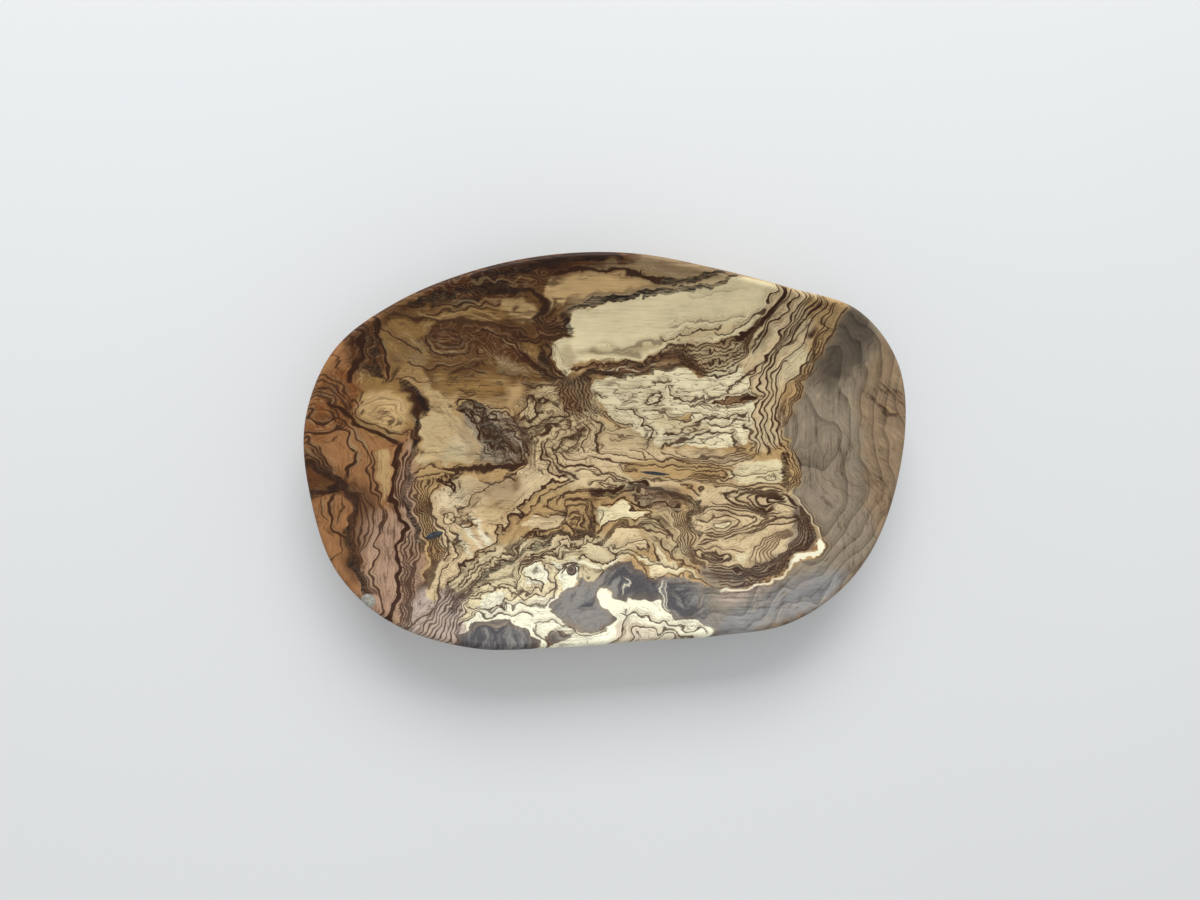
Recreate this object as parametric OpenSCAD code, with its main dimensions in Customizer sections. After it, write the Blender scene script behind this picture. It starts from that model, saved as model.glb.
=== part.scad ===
// Shallow olive wood dish with a freeform rim, carved from one block.
// Four small fills close the faults of the block: an oval knot hole, a fissure,
// a pin knot and a chip in the rim.
// The dish stands on its flat foot at Z = 0, with the middle of its length and width on the Z axis.

/* [Rim] */
// Length of the dish over its rim, along X
dish_length = 260; // [200:1:320]
// Width of the dish over its rim, along Y
dish_width = 169; // [130:1:210]
// Height of the rim above the table
dish_height = 32; // [24:1:44]
// Thickness of the wall at its rounded rim
rim_thickness = 4; // [3:0.5:7]

/* [Bowl] */
// Thickness of the floor at its middle
floor_thickness = 8; // [6:0.5:12]
// Power of the curve that turns the floor up into the wall
wall_power = 2.8; // [2:0.1:4]

/* [Foot] */
// Length of the flat foot, along X
foot_length = 150; // [110:1:170]
// Width of the flat foot, along Y
foot_width = 94; // [70:1:110]
// Angle at which the outer wall leaves the foot
foot_flare = 15; // [5:1:25]

/* [Fills] */
// Depth of the knot and fissure fills below the surface of the bowl
fill_depth = 3; // [2:0.5:4]
// Glue line round each fill
glue_line = 0.05; // [0.02:0.01:0.1]

/* [Oval knot fill] */
// Length of the oval fill
oval_length = 8.2; // [5:0.2:12]
// Width of the oval fill
oval_width = 3; // [2:0.2:5]
// Angle of the oval fill's length from the X axis
oval_turn = 17; // [-45:1:45]

/* [Fissure fill] */
// Length of the filled fissure
fissure_length = 14.5; // [8:0.5:20]
// Width of the filled fissure
fissure_width = 1.6; // [1:0.1:3]
// Angle of the fissure's length from the X axis
fissure_turn = -6; // [-45:1:45]

/* [Pin knot] */
// Diameter of the pin knot
pin_knot_diameter = 4.6; // [3:0.2:7]

/* [Rim chip fill] */
// Diameter of the round hollow that the chip left in the rim
chip_diameter = 6; // [4:0.2:7]
// Direction of the chip from the middle of the dish, counter-clockwise from the X axis
chip_heading = 211; // [180:1:260]

/* [Hidden] */

// Rim seen from above, counter-clockwise from the +X end, before it is fitted to the length and width
rim_guide = [
    [129.5, 8], [126, 39], [107, 62], [76, 71], [43, 78.5], [8, 84], [-27, 82.7],
    [-61, 75], [-93, 61], [-118, 41], [-129.5, 12], [-127.5, -19], [-117, -50], [-94, -72],
    [-61, -83], [-26, -83.6], [9, -82], [44, -80.5], [77, -75.5], [104, -57.5], [121, -30]
];
// Places of the fills in the bowl, seen from above
oval_place = [-78, -37];
fissure_place = [20.5, -10.8];
pin_knot_place = [-18.3, -53.3];
// Stations on the rim from one guide point to the next, and rings of the surface from the middle to the foot
guide_steps = 5;
bowl_rings = 12;
rim_steps = 6;
wall_rings = 8;
// Fineness of the round walls of the fills, and of the long flat arcs of the lens-shaped ones
fill_facets = 240;
lens_facets = 960;

rim_radius = rim_thickness / 2;
free_rim = [for (k = [0 : len(rim_guide) - 1], s = [0 : guide_steps - 1]) rim_curve(k, s / guide_steps)];
stations = len(free_rim);
free_low = [for (axis = [0, 1]) min([for (p = free_rim) p[axis]])];
free_high = [for (axis = [0, 1]) max([for (p = free_rim) p[axis]])];
rim_fit = [dish_length / (free_high.x - free_low.x), dish_width / (free_high.y - free_low.y)];
rim = [for (p = free_rim) let(q = p - (free_low + free_high) / 2) [q.x * rim_fit.x, q.y * rim_fit.y]];
foot = [for (p = rim) [p.x * foot_length / dish_length, p.y * foot_width / dish_width]];
// Top edge of the bowl and top edge of the outer wall, where the rounded rim takes over
lip = [for (i = [0 : stations - 1]) rim_arc(i, 90 + bowl_slope(i))];
hip = [for (i = [0 : stations - 1]) rim_arc(i, wall_slope(i) - 90)];

// Point on the smooth curve through the guide points, from guide point k (t = 0) to the next (t = 1)
function rim_curve(k, t) =
    let(a = guide(k - 1), b = guide(k), c = guide(k + 1), d = guide(k + 2))
    b + (c - a) * t / 2 + (2 * a - 5 * b + 4 * c - d) * t * t / 2 + (3 * b - a - 3 * c + d) * t * t * t / 2;
function guide(k) = rim_guide[(k + len(rim_guide)) % len(rim_guide)];

// Unit vector square to the rim, pointing outwards
function outward(i) =
    let(along = rim[(i + 1) % stations] - rim[(i + stations - 1) % stations])
    [along.y, -along.x] / norm(along);

// Steepness of the bowl at the lip and of the outer wall at the hip, square to the rim
function bowl_slope(i) =
    atan(wall_power * (dish_height - floor_thickness) / (rim[i] * outward(i) - rim_radius));
function wall_slope(i) = atan(2 * (dish_height - rim_radius) / wall_reach(i) - tan(foot_flare));
function wall_reach(i) = (rim[i] - foot[i]) * outward(i);

// Point on the rounded rim, at an angle up from the outward direction
function rim_arc(i, angle) =
    concat(rim[i] + outward(i) * rim_radius * (cos(angle) - 1), dish_height + rim_radius * (sin(angle) - 1));

// Point on the bowl, a share of the way from the middle out to the lip
function bowl_point(i, share) = concat(flat(lip[i]) * share, bowl_rise(lip[i].z, share));
function bowl_rise(lip_height, share) =
    floor_thickness + (lip_height - floor_thickness) * pow(share, wall_power);
function flat(p) = [p.x, p.y];

// Point on the outer wall, a share of the way from the foot up to the hip
function wall_point(i, share) =
    let(top = flat(hip[i]), start = tan(foot_flare) * (top - foot[i]) * outward(i) / hip[i].z)
    concat(foot[i] + (top - foot[i]) * share, hip[i].z * share * (start + (1 - start) * share));

// Station of the lip, with its fraction, that lies in the direction of a point
function station_toward(p) =
    [for (i = [0 : stations - 1])
        let(a = flat(lip[i]), b = flat(lip[(i + 1) % stations]), past = cross(a, p), short = cross(p, b))
        if (a * p > 0 && past >= 0 && short > 0) i + past / (past + short)][0];
function between(a, b, share) = a + (b - a) * share;
// Point of a ring at a station with its fraction
function at_station(points, station) =
    between(points[floor(station)], points[(floor(station) + 1) % stations], station - floor(station));

// Point on the surface of the bowl over a place seen from above
function on_bowl(p) =
    let(edge = at_station(lip, station_toward(p)))
    concat(p, bowl_rise(edge.z, norm(p) / norm(flat(edge))));

// Block with the bowl carved and the outside shaped, with no faults
module carved_block() {
    every = [0 : stations - 1];
    rings = [
        for (k = [1 : bowl_rings]) [for (i = every) bowl_point(i, k / bowl_rings)],
        for (k = [1 : rim_steps])
            [for (i = every) rim_arc(i, between(90 + bowl_slope(i), wall_slope(i) - 90, k / rim_steps))],
        for (k = [1 : wall_rings]) [for (i = every) wall_point(i, 1 - k / wall_rings)]
    ];
    last = len(rings) - 1;
    floor_middle = stations * len(rings);
    points = [for (ring = rings, p = ring) p, [0, 0, floor_thickness], [0, 0, 0]];
    faces = [
        for (i = every) [floor_middle, (i + 1) % stations, i],
        for (k = [0 : last - 1], i = every)
            let(a = k * stations + i, b = k * stations + (i + 1) % stations)
            each [[a, b, b + stations], [a, b + stations, a + stations]],
        for (i = every) [last * stations + i, last * stations + (i + 1) % stations, floor_middle + 1]
    ];
    polyhedron(points = points, faces = faces, convexity = 6);
}

// Upright post of lens-shaped plan, sunk to the fill depth in the bowl at a place,
// and wider all round by a gap
module lens_post(place, length, width, turn, gap) {
    long = length + 2 * gap;
    wide = width + 2 * gap;
    arc_radius = (long * long + wide * wide) / (4 * wide);
    translate(on_bowl(place) - [0, 0, fill_depth + gap])
        rotate(turn)
            intersection_for(side = [-1, 1])
                translate([0, side * (arc_radius - wide / 2), 0])
                    cylinder(r = arc_radius, h = dish_height, $fn = lens_facets);
}

module oval_post(gap) { lens_post(oval_place, oval_length, oval_width, oval_turn, gap); }

module fissure_post(gap) { lens_post(fissure_place, fissure_length, fissure_width, fissure_turn, gap); }

module pin_knot_post(gap) {
    translate(on_bowl(pin_knot_place) - [0, 0, fill_depth + gap])
        cylinder(d = pin_knot_diameter + 2 * gap, h = dish_height, $fn = fill_facets);
}

// Round hollow centred on the top of the rim
module chip_hollow(gap) {
    crest = [for (i = [0 : stations - 1]) rim_arc(i, 90)];
    translate(at_station(crest, station_toward([cos(chip_heading), sin(chip_heading)])))
        sphere(d = chip_diameter + 2 * gap, $fn = fill_facets);
}

module dish_body() {
    color("#a67c4e")
        difference() {
            carved_block();
            oval_post(glue_line);
            fissure_post(glue_line);
            pin_knot_post(glue_line);
            chip_hollow(glue_line);
        }
}

module oval_knot_fill() {
    color("#2b2a27")
        intersection() {
            carved_block();
            oval_post(0);
        }
}

module fissure_fill() {
    color("#2f2a26")
        intersection() {
            carved_block();
            fissure_post(0);
        }
}

module pin_knot() {
    color("#3c2e24")
        intersection() {
            carved_block();
            pin_knot_post(0);
        }
}

module rim_chip_fill() {
    color("#8f8a7c")
        intersection() {
            carved_block();
            chip_hollow(0);
        }
}

dish_body();
oval_knot_fill();
fissure_fill();
pin_knot();
rim_chip_fill();
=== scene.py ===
"""Looks of the olive wood dish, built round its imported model.

The carved block is one smooth skin with the figure of the wood, and the fills of its four faults lie in it.
Lengths are in millimetres, and become metres where a mesh is made. X runs along the dish, Y across, Z up.
"""

import math

import bpy
import numpy as np
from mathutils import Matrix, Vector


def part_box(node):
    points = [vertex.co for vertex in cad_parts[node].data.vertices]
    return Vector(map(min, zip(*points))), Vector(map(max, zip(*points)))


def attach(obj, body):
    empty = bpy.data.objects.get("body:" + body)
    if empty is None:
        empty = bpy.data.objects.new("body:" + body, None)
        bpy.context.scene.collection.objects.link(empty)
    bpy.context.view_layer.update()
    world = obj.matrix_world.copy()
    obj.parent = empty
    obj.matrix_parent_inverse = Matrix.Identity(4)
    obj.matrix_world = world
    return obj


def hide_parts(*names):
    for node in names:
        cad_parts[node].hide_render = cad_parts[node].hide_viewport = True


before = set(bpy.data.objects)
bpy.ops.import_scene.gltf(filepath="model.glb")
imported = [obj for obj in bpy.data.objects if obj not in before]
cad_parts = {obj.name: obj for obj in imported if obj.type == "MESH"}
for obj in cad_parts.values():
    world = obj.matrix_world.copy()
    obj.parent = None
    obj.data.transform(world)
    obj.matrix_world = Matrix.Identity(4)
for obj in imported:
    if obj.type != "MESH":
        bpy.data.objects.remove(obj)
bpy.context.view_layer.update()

MM = 0.001

# Dish

dish_low, dish_high = (np.array(corner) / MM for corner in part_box("dish_body"))
DISH_LENGTH, DISH_WIDTH, DISH_HEIGHT = dish_high - dish_low
RIM_RADIUS = 2.0
FLOOR_THICKNESS = 8.0
WALL_POWER = 2.8
FOOT_SHARE = np.array([150 / 260, 94 / 169])
FOOT_FLARE = math.radians(15)
RIM_GUIDE = np.array([
    [129.5, 8], [126, 39], [107, 62], [76, 71], [43, 78.5], [8, 84], [-27, 82.7],
    [-61, 75], [-93, 61], [-118, 41], [-129.5, 12], [-127.5, -19], [-117, -50], [-94, -72],
    [-61, -83], [-26, -83.6], [9, -82], [44, -80.5], [77, -75.5], [104, -57.5], [121, -30],
])
# Rings of the skin: square ones from the middle of the bowl to its lip,
# then round the rim, down the wall and over the foot
BOWL_RINGS = 110
RIM_RINGS = 10
WALL_RINGS = 36
FOOT_RINGS = 6
STATIONS = 8 * BOWL_RINGS


def curve_through(points, steps, closed=True):
    """Smooth curve through points, given as pairs or as one row of x, y, x, y.
    From b to c, with a before and d after and t from 0 to 1, it is
    b + (c - a) t / 2 + (2a - 5b + 4c - d) t^2 / 2 + (3b - a - 3c + d) t^3 / 2."""
    points = np.reshape(points, (-1, 2)).astype(float)
    if closed:
        ring = np.concatenate([points[-1:], points, points[:2]])
    else:
        ring = np.concatenate([points[:1], points, points[-1:]])
    a, b, c, d = (ring[k : len(ring) - 3 + k, None] for k in range(4))
    t = (np.arange(steps) / steps)[None, :, None]
    line = b + (c - a) * t / 2 + (2 * a - 5 * b + 4 * c - d) * t**2 / 2 + (3 * b - a - 3 * c + d) * t**3 / 2
    line = line.reshape(-1, 2)
    return line if closed else np.concatenate([line, points[-1:]])


def along_line(line, shares):
    """Points at shares of a line's length."""
    walked = np.concatenate([[0], np.cumsum(np.linalg.norm(np.diff(line, axis=0), axis=1))])
    return np.stack([np.interp(shares * walked[-1], walked, line[:, k]) for k in range(2)], axis=1)


def bands_between(loops):
    """Bands of four-cornered faces from each loop of points to the next."""
    return [np.stack([a, b, np.roll(b, -1), np.roll(a, -1)], axis=1) for a, b in zip(loops, loops[1:])]


def rim_line():
    """Outline of the rim at even steps of length, from an eighth of its length before the +X end,
    fitted to the dish's length and width."""
    line = curve_through(RIM_GUIDE, 60)
    low, high = line.min(0), line.max(0)
    line = (line - (low + high) / 2) * np.array([DISH_LENGTH, DISH_WIDTH]) / (high - low)
    return along_line(np.concatenate([line, line[:1]]), (np.arange(STATIONS) / STATIONS - 1 / 8) % 1)


RIM = rim_line()
ALONG = np.roll(RIM, -1, axis=0) - np.roll(RIM, 1, axis=0)
OUTWARD = np.stack([ALONG[:, 1], -ALONG[:, 0]], axis=1) / np.linalg.norm(ALONG, axis=1, keepdims=True)
FOOT = RIM * FOOT_SHARE
BOWL_SLOPE = np.arctan(WALL_POWER * (DISH_HEIGHT - FLOOR_THICKNESS) / ((RIM * OUTWARD).sum(1) - RIM_RADIUS))
WALL_REACH = ((RIM - FOOT) * OUTWARD).sum(1)
WALL_SLOPE = np.arctan(2 * (DISH_HEIGHT - RIM_RADIUS) / WALL_REACH - math.tan(FOOT_FLARE))


def rim_arc(angle):
    """Points on the rounded rim, at an angle up from the outward direction."""
    flat = RIM + OUTWARD * (RIM_RADIUS * (np.cos(angle) - 1))[:, None]
    return np.column_stack([flat, DISH_HEIGHT + RIM_RADIUS * (np.sin(angle) - 1)])


LIP = rim_arc(np.pi / 2 + BOWL_SLOPE)
HIP = rim_arc(WALL_SLOPE - np.pi / 2)


def lip_toward(x, y):
    """Distance of the lip from the middle, and its height, in the direction of each place."""
    heading = np.unwrap(np.arctan2(LIP[:, 1], LIP[:, 0]))
    turned = heading[0] + (np.arctan2(y, x) - heading[0]) % (2 * np.pi)
    once_round = np.append(heading, heading[0] + 2 * np.pi)
    reach = np.hypot(LIP[:, 0], LIP[:, 1])
    return (np.interp(turned, once_round, np.append(values, values[0])) for values in (reach, LIP[:, 2]))


def bowl_height(x, y):
    """Height of the bowl: the floor, rising to the lip with a power of the share of the way out to it."""
    reach, lip_height = lip_toward(x, y)
    return FLOOR_THICKNESS + (lip_height - FLOOR_THICKNESS) * (np.hypot(x, y) / reach) ** WALL_POWER


def dish_skin():
    """Closed skin of the dish as points and faces.

    The bowl is a square grid whose square rings become copies of the lip, scaled about the middle.
    From the lip, round rings follow the rim's arc, the wall's curve down to the foot,
    and the foot's outline shrinking to a point."""
    steps = np.arange(-BOWL_RINGS, BOWL_RINGS + 1)
    i, j = np.meshgrid(steps, steps, indexing="ij")
    ring = np.maximum(abs(i), abs(j))
    sides = [(i == ring) & (j < ring), (j == ring) & (i > -ring), (i == -ring) & (j > -ring)]
    walk = np.select(sides, [j + ring, 3 * ring - i, 5 * ring - j], 7 * ring + i)
    station = (walk * BOWL_RINGS / np.maximum(ring, 1)).ravel()
    share = (ring / BOWL_RINGS).ravel()
    whole = np.floor(station).astype(int) % STATIONS
    part = (station - np.floor(station))[:, None]
    edge = LIP[whole] * (1 - part) + LIP[(whole + 1) % STATIONS] * part
    rise = FLOOR_THICKNESS + (edge[:, 2] - FLOOR_THICKNESS) * share**WALL_POWER
    rings = [np.column_stack([edge[:, :2] * share[:, None], rise])]
    for k in range(1, RIM_RINGS + 1):
        start, end = np.pi / 2 + BOWL_SLOPE, WALL_SLOPE - np.pi / 2
        rings.append(rim_arc(start + (end - start) * k / RIM_RINGS))
    leave = math.tan(FOOT_FLARE) * ((HIP[:, :2] - FOOT) * OUTWARD).sum(1) / HIP[:, 2]
    for k in range(1, WALL_RINGS + 1):
        up = 1 - k / WALL_RINGS
        flat = FOOT + (HIP[:, :2] - FOOT) * up
        rings.append(np.column_stack([flat, HIP[:, 2] * up * (leave + (1 - leave) * up)]))
    for k in range(1, FOOT_RINGS):
        rings.append(np.column_stack([FOOT * (1 - k / FOOT_RINGS), np.zeros(STATIONS)]))
    points = np.concatenate(rings + [np.zeros((1, 3))])

    number = np.arange(len(steps) ** 2).reshape(len(steps), -1)
    corners = [number[:-1, :-1], number[1:, :-1], number[1:, 1:], number[:-1, 1:]]
    quads = np.stack(corners, axis=-1).reshape(-1, 4)
    outer = np.empty(STATIONS, int)
    outer[walk[ring == BOWL_RINGS]] = number[ring == BOWL_RINGS]
    loops = [outer] + list(number.size + np.arange((len(rings) - 1) * STATIONS).reshape(-1, STATIONS))
    last = loops[-1]
    fan = np.stack([last, np.full(STATIONS, len(points) - 1), np.roll(last, -1)], axis=1)
    return points, [np.concatenate([quads] + bands_between(loops)), fan]


# Figure of the wood, seen from above on a sheet of square cells

CELL = 0.5
SHEET_X = np.arange(-140, 140, CELL) + CELL / 2
SHEET_Y = np.arange(-96, 96, CELL) + CELL / 2
SHEET_SIZE = (len(SHEET_Y), len(SHEET_X))
FIELD_REACH = 5.0
# Steps from one point to the next on the smooth curves of the figure, of its bundles and of its grain
CURVE_STEPS = 4
BUNDLE_STEPS = 6
GRAIN_STEPS = 24
# Points on each line of a bundle
BUNDLE_POINTS = 14

COLOURS = {
    "ivory": (230, 221, 187),
    "cream": (221, 203, 158),
    "straw": (209, 184, 140),
    "honey": (183, 151, 102),
    "gold": (201, 168, 116),
    "tan": (154, 129, 93),
    "smoke": (128, 97, 64),
    "cocoa": (116, 83, 44),
    "brass": (152, 118, 68),
    "umber": (98, 62, 31),
    "dusk": (66, 37, 16),
    "amber": (157, 113, 71),
    "rose": (170, 138, 110),
    "slate": (147, 131, 106),
    "taupe": (150, 126, 96),
    "mud": (104, 90, 72),
    "ash": (142, 136, 126),
    "plum": (77, 72, 70),
    "lilac": (134, 127, 115),
    "walnut": (110, 76, 47),
    "sage": (139, 128, 97),
    "dove": (204, 185, 143),
    "bark": (36, 24, 17),
    "wheat": (191, 168, 125),
    "clay": (182, 162, 142),
    "sienna": (138, 88, 44),
}

# Outlines and lines of the figure are rows of points, as x, y after x, y

# Pale islands: colour, softness of the edge, outline
PALE = [
    ("dove", 6, [77, 39, 80, 43, 84, 46, 88, 45.4, 90, 41, 87, 37, 83, 33, 79.4, 30.6, 77.4, 33.4]),
    ("dove", 6, [74, 58, 70, 56, 66.4, 52, 64, 46.6, 62.6, 42, 64.6, 41, 68, 44, 71, 48, 74, 52]),
    ("cream", 1.2, [-8, 30, 0, 32.5, 10, 33, 20, 35, 28, 37, 36, 36, 40, 32, 48, 36, 56, 40, 60, 38, 64, 30,
        66, 20, 65, 10, 62, 3, 50, 1, 35, 2, 22, 2, 14, 7, 5, 11, -2, 18, -7, 24]),
    ("cream", 1, [70, 70, 67, 66, 65, 60, 62, 55.5, 57, 51.5, 50, 49.8, 42, 48.6, 34, 47.6, 28, 47.2, 24, 45,
        20, 42.6, 14, 41, 8, 40.4, 0, 40.2, -8, 40, -15, 39, -18, 35, -20.5, 32.5, -23, 36, -26.5, 41,
        -27, 45, -23, 49, -17, 50.4, -20, 53, -18.6, 57, -18, 60, -12, 61.5, -6, 63, -2, 64.5, 6, 66, 15, 68,
        25, 69.5, 35, 70.5, 45, 71.5, 50, 74, 55, 75.5, 62, 74, 70, 72]),
    ("gold", 2.5, [-20, 66, -10, 68.5, 0, 69.5, 10, 71, 18, 73, 12, 75, 0, 76, -12, 75.5, -20, 74, -22, 70]),
    ("gold", 2.5, [-31, 66, -28, 61, -24, 62.5, -21, 66, -22, 71, -27, 74, -31, 70]),
    ("honey", 7, [-50, 61.6, -45, 64.6, -40, 65, -36, 62.4, -33, 58.6, -36, 55.6, -43, 56.6]),
    ("brass", 4, [-98, 52, -92, 54.4, -84, 53.4, -78, 54, -79.6, 50, -83, 48, -84, 44, -80, 41, -81, 37,
        -83, 34, -80, 30, -79, 25.6, -84, 26, -92, 30, -97, 33, -95.4, 36, -98, 42, -98.6, 47]),
    ("honey", 9, [-46, 28, -42, 30, -38.6, 27, -39.6, 23, -42, 19.4, -45, 18.4, -46.4, 22, -46.4, 25]),
    ("wheat", 1.6, [-82, 25, -78, 25, -70, 23, -70, 15, -66, 12, -62, 8, -59, 3, -58, -3, -62, -6, -68, -5,
        -75, -6, -82, -7, -86, -4, -83, 1, -83, 8, -84, 13, -80, 15, -80, 20]),
    ("gold", 9, [-108, 20, -104, 24, -95, 24, -90, 22, -88, 19, -90, 14, -91, 10, -95, 7, -101, 10, -106, 13,
        -110, 17]),
    ("rose", 5, [-98, -28, -94, -32, -92.5, -36, -94, -42, -94, -50, -93, -56, -95, -60, -98, -59, -101, -54,
        -103, -50, -100, -44, -99, -38]),
    ("honey", 4, [-101, -1, -97, -1, -96, -10, -97, -18, -98.5, -22, -101, -15, -102, -8]),
    ("amber", 4, [-118, 8, -114, 8.5, -112, 5, -110, 0, -108, -5, -112, -9, -119, -5, -124, 0]),
    ("amber", 4, [-121, -20, -116, -19, -112, -22, -112, -27, -114, -32, -118, -30, -123, -28]),
    ("amber", 4, [-123, -31, -118, -33, -115.5, -36, -116, -41, -119, -42, -122, -38]),
    ("straw", 1.2, [-79, -22, -75, -17, -72, -14, -66, -12, -60, -12, -55, -14, -47, -13, -43, -10, -40, -9,
        -38, -8, -37, -5, -34, -2.5, -31, -3, -30, -6, -28, -9, -26, -11, -23, -13, -26, -14.5, -30, -16.5,
        -34, -19, -36, -21, -38, -23, -40, -26, -41, -30, -44, -27.5, -46, -30, -46, -34, -49, -35, -52, -34,
        -51, -38, -51, -41, -55, -43, -58, -45, -61, -47, -64, -49, -67, -51, -70, -55, -74, -60, -78, -64,
        -81, -60, -79, -50, -75, -46, -75, -40, -77, -34, -80, -28]),
    ("straw", 2, [-39, -32, -33, -30, -22, -29.5, -21, -33, -25, -35, -32, -36, -37, -35]),
    ("wheat", 5, [-39, 20, -36, 24, -34, 22, -33, 18, -34, 14, -36, 12, -39, 14, -41, 16]),
    ("wheat", 5, [-33, 21, -29, 25, -25, 24, -26, 21, -27, 17, -31, 15.5, -33, 18]),
    ("wheat", 6, [-38, 9, -33, 11, -28, 12, -24, 15, -20, 16, -19, 13, -25, 10, -30, 7, -36, 7]),
    ("ivory", 1.2, [-66, -74, -60, -70.5, -55, -69, -45, -69, -35, -68, -30, -69, -27, -72, -20, -74.5,
        -14, -78, -20, -77, -28, -74.5, -38, -72, -45, -73, -55, -71.5, -60, -73]),
    ("ivory", 1.5, [-60, -68, -57, -63, -50, -61, -47, -63, -50, -67]),
    ("ivory", 1.6, [-39, -55, -38, -51, -32, -51, -29, -55, -31, -59, -36, -59]),
    ("ivory", 1.2, [-27, -50, -22, -50, -16, -49, -15, -52, -16, -56, -18, -60, -21, -63, -24, -54]),
    ("cream", 1, [-6, -26, -4, -25, 0, -26, 5, -23, 8, -26, 14, -28, 15, -30, 8, -31.5, 0, -31.5, -4, -35,
        -5, -33, -7, -30]),
    ("straw", 2, [-2, -42, 0, -38, 5, -35, 12, -36, 14, -40, 16, -44, 4, -44]),
    ("cream", 1.5, [10, -47, 16, -52, 18, -57, 25, -56, 30, -56, 36, -57, 40, -59, 35, -54, 28, -51, 24, -49,
        22, -44, 20, -44, 20, -50]),
    ("cream", 4, [54, -11, 59, -8, 65, -5.6, 71, -4.4, 77, -6, 78.4, -10, 77.6, -14.4, 70, -15.8, 61, -15]),
    ("cream", 1, [47, -34.3, 50, -33, 54, -33.2, 55.3, -34.3, 52, -35.6, 48.5, -35.5]),
    ("cream", 2, [71, -22.3, 75, -20.8, 80, -22, 80, -24, 75, -23.8]),
    ("cream", 2, [56, -48, 58, -46, 61, -47, 61, -50, 58, -51]),
    ("ivory", 1, [-7, -64, -4, -60.5, -2, -61, -3, -64, 3, -66, 5, -67, 9, -65.5, 14, -66.5, 18, -66, 21, -70,
        26, -74, 34, -74.5, 40, -77, 39, -80, 30, -82, 15, -83, 0, -83, -1, -77, 1, -72, -4, -68]),
    ("dove", 2, [3.8, -63.2, 5.2, -60.2, 7, -56.4, 7.5, -58, 6, -61, 4.6, -63.6]),
    ("clay", 10, [44, -66.4, 52, -63, 60, -61.4, 66, -60.4, 60, -64.6, 52, -67]),
]

# Brown islands that lie in the pale ones: colour, outline
BROWN = [
    ("smoke", [46.5, 21.3, 52, 23, 59, 24.6, 65, 25, 67, 24.2, 62, 22.2, 55, 21, 50, 20.7]),
    ("honey", [27, 14.6, 32, 15.2, 38, 15.6, 38, 14.4, 33, 13.6]),
    ("umber", [28.6, 49, 30, 49.8, 31.4, 49, 30, 48.2]),
]

# Purple-grey islands
PLUM = [
    [-32, -79, -28, -77.6, -24, -78.6, -20, -79, -24, -81, -30, -82],
    [-68, -80, -62, -74, -55, -72.5, -45, -73, -40, -76, -36, -79, -32, -83, -34, -90, -50, -90, -62, -88],
    [-29, -69, -24, -63, -18, -60, -14, -56, -10, -58, -5, -56, 0, -60, -6, -62, -7, -66, -3, -70, 0, -73,
        -4, -76, -10, -78.5, -17, -77, -22, -74],
    [-8, -57, 3, -50, 8, -50, 12, -54, 15.4, -55.8, 20, -56.8, 28, -57, 36, -58.4, 43, -61, 49, -66, 48, -72,
        42, -77, 34, -74, 26, -74, 22, -70, 19, -66, 14, -66, 8, -65.5, 5, -67, 2, -65, -1, -64, -3, -61.5,
        -5, -60],
]

# Grey-brown end of the dish
GREY_END = [
    106, 72, 103, 64, 101, 59, 98, 53, 95.5, 45, 93, 41, 90, 36, 88, 30, 86.5, 25, 84, 20, 82, 16, 79.5, 12,
    79.5, 8, 80.5, 4, 82, 0, 84, -3, 86, -8, 86.5, -12, 85.5, -15, 83, -19, 84, -22, 87, -26, 90, -31,
    92.5, -35, 94, -39, 94.8, -43, 94, -46, 92, -48.5, 88, -48.5, 84, -50, 80, -53, 79, -56, 75, -58.5,
    70, -60.5, 62, -61.8, 55, -63.5, 50, -63.6, 45, -61.4, 41, -63, 38.6, -68, 39, -74, 41, -78, 40, -92,
    90, -94, 138, -60, 139, 0, 138, 60, 120, 80,
]

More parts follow.
